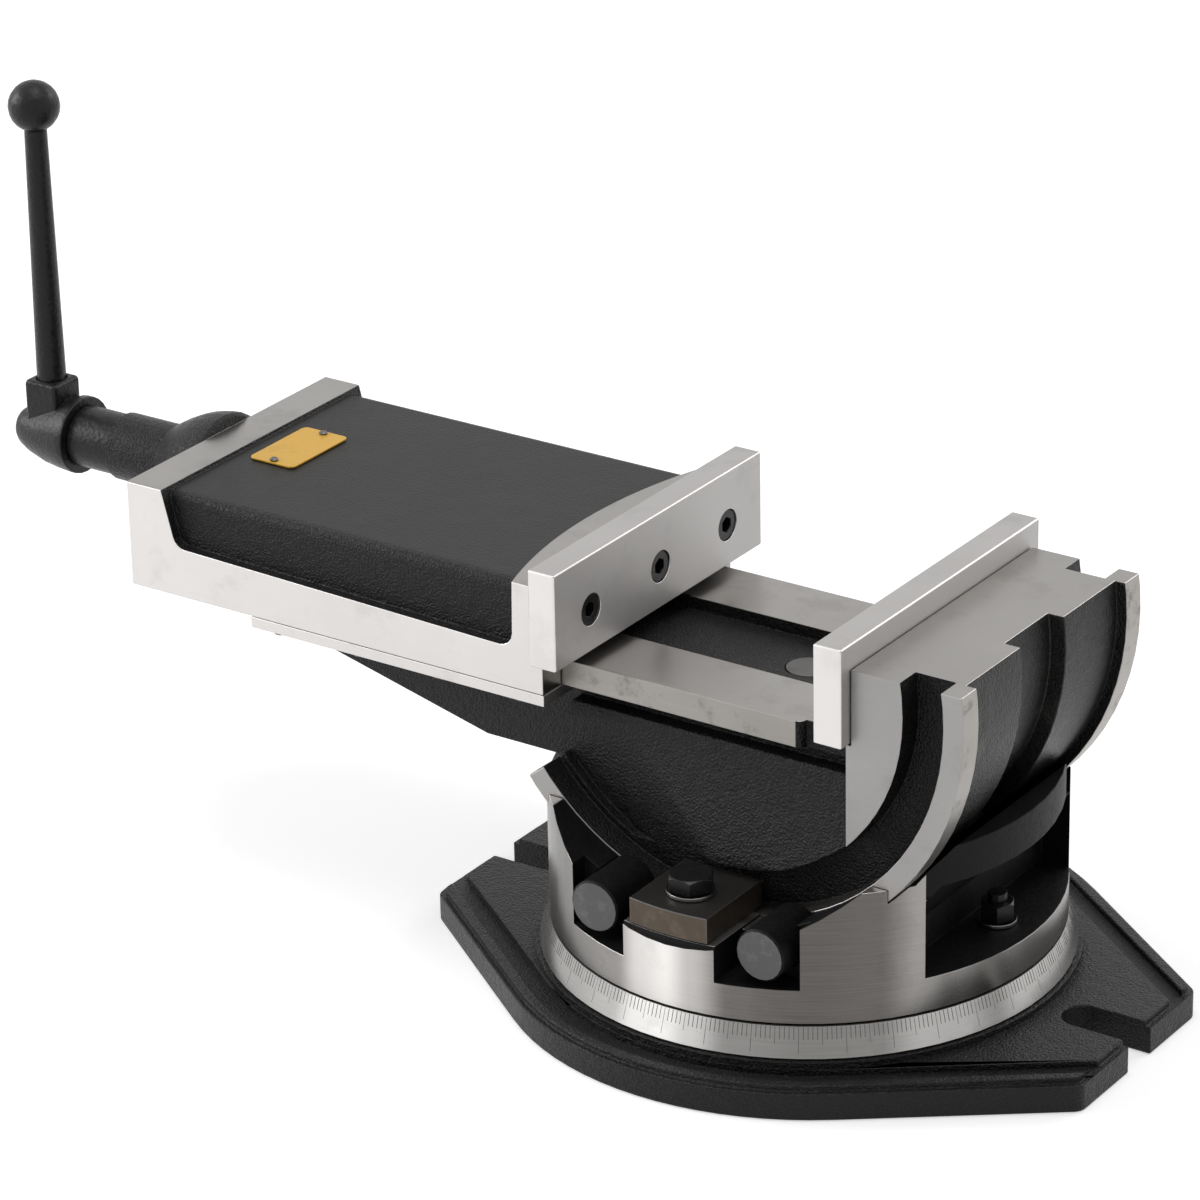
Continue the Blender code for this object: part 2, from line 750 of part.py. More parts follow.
def make_clamp(name, side):
    foot = pad_top + seat_gap
    top = foot + clamp_thickness
    spread = math.asin(clamp_half / pad_front_radius)
    front = arc(pad_front_radius, math.pi / 2 - spread, math.pi / 2 + spread, small_steps // 4)
    heel = saddle_half + seat_gap
    body_line = [(x, side * y) for x, y in
                 [(-clamp_half, clamp_toe_back), (clamp_half, clamp_toe_back)] + front]
    clamp = extruded(name, body_line, foot, top, finish="oiled")
    soften(clamp, clamp_edge_round, 1)
    toe_half = clamp_half - clamp_edge_round
    toe_back = clamp_toe_back + clamp_edge_round
    low_y, high_y = sorted((side * toe_back, side * (drum_half_width - seat_gap)))
    toe = box("toe", (-toe_half, low_y, height_on_drum(drum_radius, 0)),
              (toe_half, high_y, top - overrun))
    toe_radius = lip_inner_radius - seat_gap
    combine(toe, rod("toe_curve", toe_radius, -heel - overrun, heel + overrun, "y",
                     (0, 0, tilt_height), steps=fine_steps), "INTERSECT")
    join(clamp, toe)
    cut(clamp, rod("clamp_hole", clamp_bolt_radius + run_gap, 0, tilt_height,
                   place=(0, side * clamp_bolt_at, 0), steps=small_steps))
    smooth(clamp)
    return clamp


def make_washer(name, place, low, radius, bore, finish="dark_steel"):
    high = low + washer_thickness
    profile = [(radius, high), (radius, low), (bore, low), (bore, high)]
    washer = turned(name, profile, place=place, steps=small_steps, finish=finish)
    smooth(washer)
    return washer


def hex_crown(place, flats, top, foot):
    rim = flats / math.sqrt(3) + seat_gap
    face = flats / 2 - seat_gap
    fall = (rim - face) * crown_slope_share
    profile = [(0, top + overrun), (face - overrun / crown_slope_share, top + overrun),
               (rim, top - fall), (rim, foot), (0, foot)]
    return turned("hex_crown", profile, place=(*place, 0), steps=round_steps)


def make_hex_bolt(name, place, head_foot, flats, height, radius, foot):
    outline = hex_outline(flats, place)
    bolt = extruded(name, outline, head_foot, head_foot + height, finish="dark_steel")
    combine(bolt, hex_crown(place, flats, head_foot + height, foot), "INTERSECT")
    join(bolt, rod("bolt_shank", radius, foot, head_foot + height / 2, place=(*place, 0),
                   steps=pin_steps))
    smooth(bolt)
    return bolt


def make_lock_bolt(name, at):
    half = lock_head_side / 2
    narrow = lock_head_width / 2
    low = lock_slot_floor + run_gap
    bolt = box(name, (at - half, -narrow, low), (at + half, narrow, low + lock_head_height),
               "dark_steel")
    soften(bolt, pin_edge_chamfer, 1)
    top = pocket_floor + seat_gap + washer_thickness + seat_gap + lock_nut_height
    join(bolt, rod("lock_shank", lock_bolt_radius, low + lock_head_height / 2,
                   top + lock_bolt_proud, place=(at, 0, 0), steps=pin_steps))
    smooth(bolt)
    return bolt


def make_lock_nut(name, at):
    low = pocket_floor + seat_gap + washer_thickness + seat_gap
    high = low + lock_nut_height
    nut = extruded(name, hex_outline(lock_nut_flats, (at, 0)), low, high, finish="dark_steel")
    combine(nut, hex_crown((at, 0), lock_nut_flats, high, low - overrun), "INTERSECT")
    cut(nut, rod("nut_bore", lock_bolt_radius + seat_gap, 0, tilt_height, place=(at, 0, 0),
                 steps=pin_steps))
    smooth(nut)
    return nut


# Bed, drum and fixed jaw, one casting
def tail_outline():
    rear_foot = ways_height - tail_end_depth
    inside = side_plate_left + tail_half_width
    right = fixed_jaw_face + overrun
    fall = (rear_foot - tail_belly_height) / (tail_knee_at - bed_rear)
    rear = bed_rear - overrun
    return [(rear, core_height), (rear, rear_foot + overrun * fall),
            (tail_knee_at, tail_belly_height),
            (inside, tail_belly_height), (right, side_ledge_height - overrun),
            (right, core_height)]


def drum_section():
    half = drum_half_width
    near = [(0, half), (crescent_radius, half), (crescent_radius, lip_root),
            (lip_inner_radius, lip_root), (lip_inner_radius, half), (drum_radius, half),
            (drum_radius, lip_root), (drum_core_radius, lip_root)]
    return near + [(radius, -along) for radius, along in reversed(near)]


def drum_outline():
    reach = drum_radius + overrun
    lip_end = (reach * math.cos(lip_left_angle), tilt_height + reach * math.sin(lip_left_angle))
    meet = (side_plate_left, tilt_height + side_plate_left * math.tan(lip_left_angle))
    foot = tilt_height - reach
    return [(side_plate_left, side_ledge_height), meet, lip_end, (lip_end[0], foot),
            (reach, foot), (reach, fixed_jaw_top), (fixed_jaw_face, fixed_jaw_top),
            (fixed_jaw_face, plate_foot - seat_gap), (crescent_left, plate_foot - seat_gap),
            (crescent_left, side_ledge_height)]


def side_plate_outline():
    corner = (side_plate_left, side_plate_left_foot - tilt_height)
    distance = math.hypot(*corner)
    contact = math.atan2(corner[1], corner[0]) + math.acos(crescent_radius / distance)
    touch = (crescent_radius * math.cos(contact), tilt_height + crescent_radius * math.sin(contact))
    fall = (side_plate_left_foot - touch[1]) / (side_plate_left - touch[0])
    left = side_plate_left - overrun
    top = side_ledge_height + overrun
    return [(left, top), (left, side_plate_left_foot - overrun * fall), touch, (touch[0] / 2, top)]


def side_swell_outline(side):
    left = side_plate_left - overrun
    room = drum_half_width + overrun
    line = [(left, side_plate_left_half), (side_plate_swell_from, side_plate_left_half),
            (side_plate_swell_to, side_plate_half), (crescent_left, side_plate_half),
            (crescent_left, room), (left, room)]
    return [(x, side * y) for x, y in line]


def side_slope_outline(side):
    room = drum_half_width + overrun
    fall = ((side_ledge_height - side_plate_full_height)
            / (side_plate_half - side_plate_top_half))
    inner = side_plate_top_half - overrun / fall
    low = side_plate_full_height - (room - side_plate_half) * fall
    top = side_ledge_height + overrun
    return [(side * inner, top), (side * room, low), (side * room, top)]


def way_outline(side):
    corner = (way_right_end, way_half_width)
    before = (way_right_end, neck_half_width)
    rear = bed_rear - 2 * overrun
    after = (rear, way_half_width)
    far = fixed_jaw_face + overrun
    line = [(rear, way_inner_half), (far, way_inner_half), (far, neck_half_width), before]
    line += rounded_corner(before, corner, after, way_end_round) + [after]
    return [(x, side * y) for x, y in line]


def make_bed():
    bed = turned("vise_bed", drum_section(), "y", (0, 0, tilt_height), fine_steps, "cast_black")
    room = drum_half_width + overrun
    between = (side_plate_half + drum_half_width) / 2
    join(bed, extruded("side_plates", side_plate_outline(), -between, between, "side"))
    combine(bed, extruded("drum_room", drum_outline(), -room, room, "side"), "INTERSECT")
    foot = tilt_height - crescent_radius - overrun
    for side in (1, -1):
        relief = extruded("side_relief", side_swell_outline(side), foot,
                          side_ledge_height + overrun)
        slope = extruded("side_slope", side_slope_outline(side),
                         side_plate_left - overrun, crescent_left, "end")
        for cutter in (relief, slope):
            inside_lips = rod("inside_lips", lip_inner_radius - overrun, -room - overrun,
                              room + overrun, "y", (0, 0, tilt_height), fine_steps)
            combine(cutter, inside_lips, "INTERSECT")
            cut(bed, cutter)
    join(bed, extruded("tail", tail_outline(), -tail_half_width, tail_half_width, "side"))
    for side in (1, -1):
        join(bed, extruded("way", way_outline(side), band_foot, ways_height))
    end_low = ways_height - tail_end_depth - overrun
    end_room = way_half_width + overrun
    cut(bed, box("rear_end", (bed_rear - 3 * overrun, -end_room, end_low),
                 (bed_rear, end_room, ways_height + overrun)))
    cut(bed, box("rear_channel", (bed_rear - overrun, -rear_channel_half, rear_channel_height),
                 (rear_channel_end, rear_channel_half, ways_height + overrun)))
    depth_radius = drum_core_radius - core_channel_depth
    top_angle = drum_angle(across_on_drum(depth_radius, fixed_jaw_top), fixed_jaw_top)
    clear_radius = drum_radius + overrun
    channel = (drum_arc(depth_radius, core_channel_end_angle, 2 * top_angle, small_steps)
               + drum_arc(clear_radius, 2 * top_angle, core_channel_end_angle, small_steps))
    cut(bed, extruded("core_channel", channel, -core_channel_half, core_channel_half, "side"))
    cut(bed, rod("plug_seat", plug_radius + seat_gap, core_height - plug_thickness - seat_gap,
                 ways_height, steps=small_steps))
    for y in plate_screw_places:
        deep = fixed_plate_front + plate_screw_sink + plate_screw_head_height
        deep += plate_screw_length + seat_gap
        cut(bed, rod("jaw_tapping", plate_screw_radius + seat_gap, crescent_left, deep, "x",
                     (0, y, plate_screw_height), steps=pin_steps))
    for side in (1, -1):
        cut(bed, rod("nut_tapping", nut_screw_radius + seat_gap,
                     core_height - nut_screw_depth - seat_gap, ways_height,
                     place=(nut_middle, side * nut_screw_offset, 0), steps=pin_steps))
    smooth(bed)
    return bed


def make_plug():
    low = core_height - plug_thickness
    plug = rod("channel_plug", plug_radius, low, core_height, steps=small_steps,
               finish="machined")
    smooth(plug)
    return plug


# Jaw plates and their socket screws
def make_jaw_plate(name, back, front, y_places):
    low, high = sorted((back, front))
    plate = box(name, (low, -plate_half_width, plate_foot), (high, plate_half_width, plate_top),
                "ground")
    soften(plate, plate_chamfer, 1)
    inwards = 1 if back > front else -1
    bore_depth = front + inwards * (plate_screw_sink + plate_screw_head_height + seat_gap)
    for y in y_places:
        place = (0, y, plate_screw_height)
        ends = sorted((front - inwards * overrun, bore_depth))
        cut(plate, rod("counterbore", plate_screw_head_radius + seat_gap, *ends, "x", place,
                       steps=small_steps))
        ends = sorted((front, back + inwards * overrun))
        cut(plate, rod("plate_hole", plate_screw_radius + seat_gap, *ends, "x", place,
                       steps=pin_steps))
    smooth(plate)
    return plate


def make_socket_screw(name, face, inwards, y):
    start = face + inwards * plate_screw_sink
    neck = start + inwards * plate_screw_head_height
    end = neck + inwards * plate_screw_length
    place = (0, y, plate_screw_height)
    screw = rod(name, plate_screw_head_radius, *sorted((start, neck)), "x", place,
                small_steps, "dark_steel")
    join(screw, rod("screw_shank", plate_screw_radius, *sorted((start + inwards * overrun, end)),
                    "x", place, pin_steps))
    outline = hex_outline(plate_socket_flats, (y, plate_screw_height), math.pi / 6)
    ends = sorted((start - inwards * overrun, start + inwards * plate_socket_depth))
    cut(screw, extruded("socket", outline, *ends, "end"))
    smooth(screw)
    return screw


# Moving jaw
def jaw_side_outline():
    rear_top = (moving_jaw_rear + recess_rear_wall, moving_jaw_top)
    rear_foot = (rear_top[0] + recess_lean, skirt_foot + recess_rear_rise)
    front_top = (rebate_face - front_wall, moving_jaw_top)
    front_foot = (front_top[0] - recess_front_lean, skirt_foot + recess_front_rise)
    return ([(moving_jaw_rear, skirt_foot), (moving_jaw_front, skirt_foot),
             (moving_jaw_front, plate_foot - seat_gap), (rebate_face, plate_foot - seat_gap),
             (rebate_face, moving_jaw_top), front_top]
            + rounded_corner(front_top, front_foot, rear_foot, recess_corner)
            + rounded_corner(front_foot, rear_foot, rear_top, recess_corner)
            + [rear_top, (moving_jaw_rear, moving_jaw_top)])


def bearing_profile():
    steps = small_steps // 3
    fall = nose_start - bearing_full_at
    blend = []
    for i in range(steps + 1):
        share = i / steps
        ease = share ** bearing_fall_power
        blend.append((bearing_radius + (nose_radius - bearing_radius) * ease,
                      bearing_full_at + fall * share))
    root = moving_jaw_rear + rear_wall / 2
    wall = moving_jaw_rear + seat_gap
    shoulder = [(0, root), (bearing_root_radius, root), (bearing_root_radius, wall),
                (bearing_radius - bearing_wall_round, wall)]
    return shoulder + blend + [(nose_radius, nose_end), (0, nose_end)]


def make_moving_jaw():
    jaw = extruded("moving_jaw", jaw_side_outline(), -jaw_half_width, jaw_half_width, "side",
                   "cast_black")
    middle = box("jaw_middle", (moving_jaw_rear + rear_wall / 2, -inner_body_half, skirt_foot),
                 (rebate_face - front_wall / 2, inner_body_half, inner_top))
    soften(middle, inner_edge_round, 3)
    join(jaw, middle)
    half = jaw_half_width
    land_back = rebate_face - front_wall
    bow_radius = (half ** 2 + land_bulge ** 2) / (2 * land_bulge)
    spread = math.asin(half / bow_radius)
    bow = arc(bow_radius, math.pi - spread, math.pi + spread, small_steps,
              (land_back - land_bulge + bow_radius, 0))
    land = bow + [(rebate_face - front_wall / 2, -half), (rebate_face - front_wall / 2, half)]
    join(jaw, extruded("front_land", land, inner_top - overrun, moving_jaw_top))
    screw_line = (0, 0, screw_height)
    slide_half = way_half_width + run_gap
    slide_top = ways_height + run_gap
    rear = moving_jaw_rear - overrun
    cut(jaw, box("slide_channel", (rear, -slide_half, skirt_foot - overrun),
                 (rebate_face + plate_thickness + overrun, slide_half, slide_top)))
    join(jaw, turned("rear_bearing", bearing_profile(), "x", screw_line))
    cut(jaw, box("hollow", (hollow_rear, -hollow_half, skirt_foot - overrun),
                 (hollow_front, hollow_half, hollow_top)))
    cut(jaw, rod("journal_bore", screw_radius + run_gap, nose_end - overrun,
                 hollow_rear + overrun, "x", screw_line))
    for y in plate_screw_places:
        deep = moving_plate_front - plate_screw_sink - plate_screw_head_height
        deep -= plate_screw_length + seat_gap
        cut(jaw, rod("jaw_plate_tapping", plate_screw_radius + seat_gap, deep,
                     rebate_face + overrun, "x", (0, y, plate_screw_height), steps=pin_steps))
    for side in (1, -1):
        for x in keep_screw_places:
            top = skirt_foot - keep_thickness + keep_screw_length + seat_gap
            cut(jaw, rod("keep_tapping", keep_screw_radius + seat_gap, 0, top,
                         place=(x, side * keep_screw_line, 0), steps=pin_steps))
    for side in (1, -1):
        cut(jaw, rod("rivet_hole", rivet_shank_radius + seat_gap,
                     inner_top - rivet_length - seat_gap, plate_top,
                     place=(tag_at, side * rivet_spacing / 2, 0), steps=pin_steps))
    smooth(jaw)
    return jaw


def make_keep(name, side):
    top = skirt_foot - seat_gap
    outer = jaw_half_width - keep_edge_inset
    low, high = sorted((side * keep_inner_half, side * outer))
    keep = box(name, (keep_rear, low, top - keep_thickness), (keep_front, high, top), "machined")
    for x in keep_screw_places:
        cut(keep, rod("keep_hole", keep_screw_radius + seat_gap, 0, tilt_height,
                      place=(x, side * keep_screw_line, 0), steps=pin_steps))
    smooth(keep)
    return keep


def make_keep_screw(name, x, side):
    face = skirt_foot - seat_gap - keep_thickness
    neck = face - seat_gap
    foot = neck - keep_screw_head_height
    top = skirt_foot - keep_thickness + keep_screw_length
    rim = keep_screw_head_radius
    profile = [(0, top), (keep_screw_radius, top), (keep_screw_radius, neck), (rim, neck),
               (rim * 3 / 4, foot), (0, foot)]
    screw = turned(name, profile, place=(x, side * keep_screw_line, 0), steps=pin_steps,
                   finish="dark_steel")
    smooth(screw)
    return screw


# Lead screw and crank
def make_screw_nut():
    low = core_height + seat_gap
    nut = box("screw_nut", (nut_rear, -nut_half_width, low),
              (nut_rear + nut_length, nut_half_width, nut_top), "brass")
    soften(nut, pin_edge_chamfer, 1)
    cut(nut, rod("nut_thread", screw_radius + run_gap, nut_rear - overrun,
                 nut_rear + nut_length + overrun, "x", (0, 0, screw_height)))
    for side in (1, -1):
        place = (nut_middle, side * nut_screw_offset, 0)
        cut(nut, rod("nut_screw_hole", nut_screw_radius + seat_gap, 0, tilt_height + overrun,
                     place=place, steps=pin_steps))
        cut(nut, rod("nut_screw_seat", nut_screw_head_radius + seat_gap,
                     nut_top - nut_screw_head_height - 2 * seat_gap, plate_top,
                     place=place, steps=pin_steps))
        cut(nut, rod("nut_screw_way", nut_screw_radius + seat_gap, low - overrun, plate_top,
                     place=place, steps=pin_steps))
    smooth(nut)
    return nut


def make_nut_screw(name, side):
    top = nut_top - seat_gap
    neck = top - nut_screw_head_height
    foot = core_height - nut_screw_depth
    profile = [(0, top), (nut_screw_head_radius, top), (nut_screw_head_radius, neck),
               (nut_screw_radius, neck), (nut_screw_radius, foot), (0, foot)]
    screw = turned(name, profile, place=(nut_middle, side * nut_screw_offset, 0),
                   steps=pin_steps, finish="dark_steel")
    smooth(screw)
    return screw


def make_lead_screw():
    rear = hub_front - hub_bore_depth + seat_gap
    chamfer = screw_end_chamfer
    profile = [(0, screw_front), (screw_radius - chamfer, screw_front),
               (screw_radius, screw_front - chamfer), (screw_radius, rear), (0, rear)]
    screw = turned("lead_screw", profile, "x", (0, 0, screw_height), small_steps, "machined")
    cut(screw, hub_pin_bore("screw_pin_bore"))
    smooth(screw)
    return screw


def hub_pin_bore(name):
    return rod(name, hub_pin_radius + seat_gap, -hub_radius - overrun, hub_pin_reach + seat_gap,
               place=(hub_pin_at, 0, screw_height), steps=pin_steps)


def make_collar(name, low, high, radius, finish):
    bore = screw_radius + seat_gap
    profile = [(radius, high), (radius, low), (bore, low), (bore, high)]
    collar = turned(name, profile, "x", (0, 0, screw_height), small_steps, finish)
    smooth(collar)
    return collar


def hub_shape():
    shape = bmesh.new()
    rings = []
    for along, wide, sag in zip(hub_length_shares, hub_radius_shares, hub_sag_shares):
        centre = screw_height + hub_radius * sag
        rings.append([shape.verts.new((hub_front - hub_length * along, y, z)) for y, z in
                      arc(hub_radius * wide, 0, 2 * math.pi, round_steps, (0, centre))[:-1]])
    for first, second in zip(rings, rings[1:]):
        for i in range(round_steps):
            shape.faces.new((first[i - 1], first[i], second[i], second[i - 1]))
    shape.faces.new(rings[0])
    shape.faces.new(rings[-1])
    return mesh_from(shape)


def make_crank_hub():
    hub = add_object("crank_hub", hub_shape(), "cast_black")
    half = block_side / 2
    block = box("block", (lever_at - half, -half, screw_height),
                (lever_at + half, half, screw_height + lever_block_top))
    soften(block, block_edge_round, 2)
    join(hub, block)
    bore_end = hub_front - hub_bore_depth
    cut(hub, rod("hub_bore", screw_radius + seat_gap, bore_end, hub_front + overrun, "x",
                 (0, 0, screw_height)))
    cut(hub, hub_pin_bore("hub_cross_bore"))
    seat = screw_height + lever_block_top
    cut(hub, rod("lever_seat", lever_foot_radius + seat_gap, seat - lever_sink, plate_top + seat,
                 place=(lever_at, 0, 0), steps=small_steps))
    smooth(hub)
    return hub


def make_hub_pin():
    pin = rod("hub_pin", hub_pin_radius, -hub_pin_foot, hub_pin_reach,
              place=(hub_pin_at, 0, screw_height), steps=pin_steps, finish="dark_steel")
    smooth(pin)
    return pin


def make_lever():
    low = screw_height + lever_block_top - lever_sink + seat_gap
    ball_foot = screw_height + ball_height - ball_radius * ball_flat_share
    top = ball_foot - seat_gap
    profile = [(0, top + lever_stud_length), (lever_stud_radius, top + lever_stud_length),
               (lever_stud_radius, top), (lever_tip_radius, top), (lever_foot_radius, low),
               (0, low)]
    lever = turned("crank_lever", profile, place=(lever_at, 0, 0), steps=small_steps,
                   finish="cast_black")
    smooth(lever)
    return lever


def make_ball():
    centre = screw_height + ball_height
    foot = centre - ball_radius * ball_flat_share
    start = -math.asin(ball_flat_share)
    steps = small_steps // 2
    curve = arc(ball_radius, math.pi / 2, start, steps, (0, centre))
    bore = lever_stud_radius + seat_gap
    bore_top = foot + lever_stud_length
    curve[0] = (0, centre + ball_radius)
    profile = curve + [(bore, foot), (bore, bore_top), (0, bore_top)]
    ball = turned("lever_ball", profile, place=(lever_at, 0, 0), steps=small_steps,
                  finish="cast_black")
    smooth(ball, 60)
    return ball


# Bare name plate and rivets
def make_tag():
    low = inner_top + seat_gap
    half_x = tag_width / 2 - tag_corner
    half_y = tag_length / 2 - tag_corner
    outline = []
    for i, (sx, sy) in enumerate(((1, 1), (-1, 1), (-1, -1), (1, -1))):
        centre = (tag_at + sx * half_x, sy * half_y)
        outline += arc(tag_corner, i * math.pi / 2, (i + 1) * math.pi / 2, 4, centre)
    tag = extruded("name_plate", outline, low, low + tag_thickness, finish="yellow_plate")
    for side in (1, -1):
        cut(tag, rod("tag_hole", rivet_shank_radius + seat_gap, 0, plate_top + overrun,
                     place=(tag_at, side * rivet_spacing / 2, 0), steps=pin_steps))
    smooth(tag)
    return tag


def make_rivet(name, side):
    face = inner_top + seat_gap + tag_thickness
    neck = face + seat_gap
    top = neck + rivet_head_height
    profile = [(0, top), (rivet_head_radius * rivet_crown_share, top),
               (rivet_head_radius, neck + rivet_head_height * rivet_edge_share),
               (rivet_head_radius, neck),
               (rivet_shank_radius, neck), (rivet_shank_radius, inner_top - rivet_length),
               (0, inner_top - rivet_length)]
    rivet = turned(name, profile, place=(tag_at, side * rivet_spacing / 2, 0),
                   steps=pin_steps, finish="machined")
    smooth(rivet)
    return rivet


# Joint axes
def joint_empty(name, place, parent=None):
    made = bpy.data.objects.new(name, None)
    parts.objects.link(made)
    made.location = place
    made.empty_display_size = pin_radius
    bpy.context.view_layer.update()
    if parent:
        made.parent = parent
        made.matrix_parent_inverse = parent.matrix_world.inverted()
        bpy.context.view_layer.update()
    return made


def carry(holder, *things):
    bpy.context.view_layer.update()
    for thing in things:
        thing.parent = holder
        thing.matrix_parent_inverse = holder.matrix_world.inverted()


clear_scene()
parts = new_collection("swivel_tilting_bench_vise")
cutters = new_collection("construction")

plate_screw_places = (-plate_screw_spacing, 0, plate_screw_spacing)
keep_screw_places = tuple(keep_screw_first + keep_screw_spacing * i
                          for i in range(keep_screw_count))
nut_middle = nut_rear + nut_length / 2
sides = {"near": -1, "far": 1}
ends = {"left": -1, "right": 1}

ground = joint_empty("base_origin", (0, 0, 0))
swivel_axis = joint_empty("swivel_axis", (0, 0, turntable_top), ground)
tilt_axis = joint_empty("tilt_axis", (0, 0, tilt_height), swivel_axis)
jaw_axis = joint_empty("jaw_slide", (moving_plate_front, 0, ways_height), tilt_axis)
screw_axis = joint_empty("screw_axis", (nose_end, 0, screw_height), jaw_axis)

carry(ground, make_base(), make_degree_ring(), make_pivot())

carry(swivel_axis, make_swivel_body())
for end_name, end in ends.items():
    place = (end * lock_circle_radius, 0, 0)
    carry(swivel_axis,
          make_lock_bolt("lock_bolt_" + end_name, place[0]),
          make_washer("lock_washer_" + end_name, place, pocket_floor + seat_gap,
                      lock_washer_radius, lock_bolt_radius + seat_gap),
          make_lock_nut("lock_nut_" + end_name, place[0]))
for side_name, side in sides.items():
    bolt_place = (0, side * clamp_bolt_at)
    clamp_top = pad_top + seat_gap + clamp_thickness
    head_foot = clamp_top + 2 * seat_gap + washer_thickness
    carry(swivel_axis,
          make_guide_pin("guide_pin_" + side_name + "_left", -pin_at, side),
          make_guide_pin("guide_pin_" + side_name + "_right", pin_at, side),
          make_clamp("clamp_plate_" + side_name, side),
          make_washer("clamp_washer_" + side_name, (*bolt_place, 0), clamp_top + seat_gap,
                      clamp_washer_radius, clamp_bolt_radius + seat_gap),
          make_hex_bolt("clamp_bolt_" + side_name, bolt_place, head_foot, clamp_head_flats,
                        clamp_head_height, clamp_bolt_radius, pad_top - clamp_bolt_depth))

carry(tilt_axis, make_bed(), make_plug(), make_screw_nut())
carry(tilt_axis, make_jaw_plate("fixed_jaw_plate", fixed_plate_front + plate_thickness,
                                fixed_plate_front, plate_screw_places))
for i, y in enumerate(plate_screw_places):
    carry(tilt_axis, make_socket_screw("fixed_plate_screw_" + str(i + 1), fixed_plate_front, 1, y))
for side_name, side in sides.items():
    carry(tilt_axis, make_nut_screw("nut_screw_" + side_name, side))

carry(jaw_axis, make_moving_jaw(), make_tag())
carry(jaw_axis, make_jaw_plate("moving_jaw_plate", moving_plate_front - plate_thickness,
                               moving_plate_front, plate_screw_places))
for i, y in enumerate(plate_screw_places):
    carry(jaw_axis, make_socket_screw("moving_plate_screw_" + str(i + 1), moving_plate_front,
                                      -1, y))
for side_name, side in sides.items():
    carry(jaw_axis, make_keep("keep_plate_" + side_name, side))
    carry(jaw_axis, make_rivet("rivet_" + side_name, side))
    for i, x in enumerate(keep_screw_places):
        carry(jaw_axis, make_keep_screw("keep_screw_" + side_name + "_" + str(i + 1), x, side))

carry(screw_axis, make_lead_screw(), make_crank_hub(), make_hub_pin(), make_lever(), make_ball(),
      make_collar("retaining_collar", hollow_rear + run_gap, hollow_rear + run_gap + collar_length,
                  collar_radius, "dark_steel"),
      make_collar("thrust_collar", thrust_face - thrust_collar_length, thrust_face,
                  thrust_collar_radius, "cast_black"))
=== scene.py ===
import bmesh
import bpy
import math
from mathutils import Matrix, Vector


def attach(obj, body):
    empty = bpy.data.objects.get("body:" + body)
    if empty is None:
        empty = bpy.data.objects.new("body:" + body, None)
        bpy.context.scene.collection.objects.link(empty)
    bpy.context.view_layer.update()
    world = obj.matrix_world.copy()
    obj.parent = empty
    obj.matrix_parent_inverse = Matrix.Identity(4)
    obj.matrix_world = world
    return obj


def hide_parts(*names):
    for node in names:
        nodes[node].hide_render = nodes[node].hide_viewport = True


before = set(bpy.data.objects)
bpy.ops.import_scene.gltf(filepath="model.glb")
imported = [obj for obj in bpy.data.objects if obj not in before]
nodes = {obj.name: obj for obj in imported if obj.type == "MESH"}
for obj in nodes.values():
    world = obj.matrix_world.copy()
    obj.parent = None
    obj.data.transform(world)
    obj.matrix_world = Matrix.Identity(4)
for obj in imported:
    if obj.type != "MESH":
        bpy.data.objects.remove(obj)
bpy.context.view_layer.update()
mm = 0.001
print("frame loaded:", len(nodes), "pieces")


# Selecting and small helpers
def only(piece):
    if bpy.context.object and bpy.context.object.mode != "OBJECT":
        bpy.ops.object.mode_set(mode="OBJECT")
    bpy.ops.object.select_all(action="DESELECT")
    piece.select_set(True)
    bpy.context.view_layer.objects.active = piece


def applyAll(piece):
    only(piece)
    for step in list(piece.modifiers):
        bpy.ops.object.modifier_apply(modifier=step.name)


def seat(piece):  # puts a new piece's place into its mesh
    only(piece)
    bpy.ops.object.transform_apply(location=True, rotation=True, scale=True)


# Camera, at the photograph's angle
viewFrom = {
    "place": (1.0208, -1.6179, 1.0201),
    "turn": 34.37,
    "dip": 23.95,
    "roll": -1.06,
    "lens": 159.1,
    "shift": (-0.0236, -0.0119),
    "sensor": 36,
    "reach": 20,
}


def makeCamera():
    bpy.ops.object.camera_add()
    camera = bpy.context.object
    camera.name = "photoCamera"
    spin = Matrix.Rotation(math.radians(viewFrom["turn"]), 4, "Z")
    dip = Matrix.Rotation(math.radians(90 - viewFrom["dip"]), 4, "X")
    roll = Matrix.Rotation(math.radians(viewFrom["roll"]), 4, "Z")
    camera.matrix_world = Matrix.Translation(viewFrom["place"]) @ spin @ dip @ roll
    camera.data.lens = viewFrom["lens"]
    camera.data.sensor_width = viewFrom["sensor"]
    camera.data.shift_x, camera.data.shift_y = viewFrom["shift"]
    camera.data.clip_end = viewFrom["reach"]
    bpy.context.scene.camera = camera


# Floor, world and soft lamps
studio = {
    "floorSize": 30,
    "floorDrop": 0.2 * mm,
    "floorTone": (0.80, 0.80, 0.80, 1),
    "floorLift": 0.50,
    "fill": 0.30,
    "lamps": {
        "leftSoftbox": ((-2.3, -1.0, 1.1), (1.6, 1.2), 38),
        "backSoftbox": ((0.7, 2.0, 1.3), (1.4, 0.9), 14),
        "overhead": ((0.1, -0.1, 2.2), (1.2, 1.2), 14),
    },
    "aim": (-0.05, 0, 0.12),
}


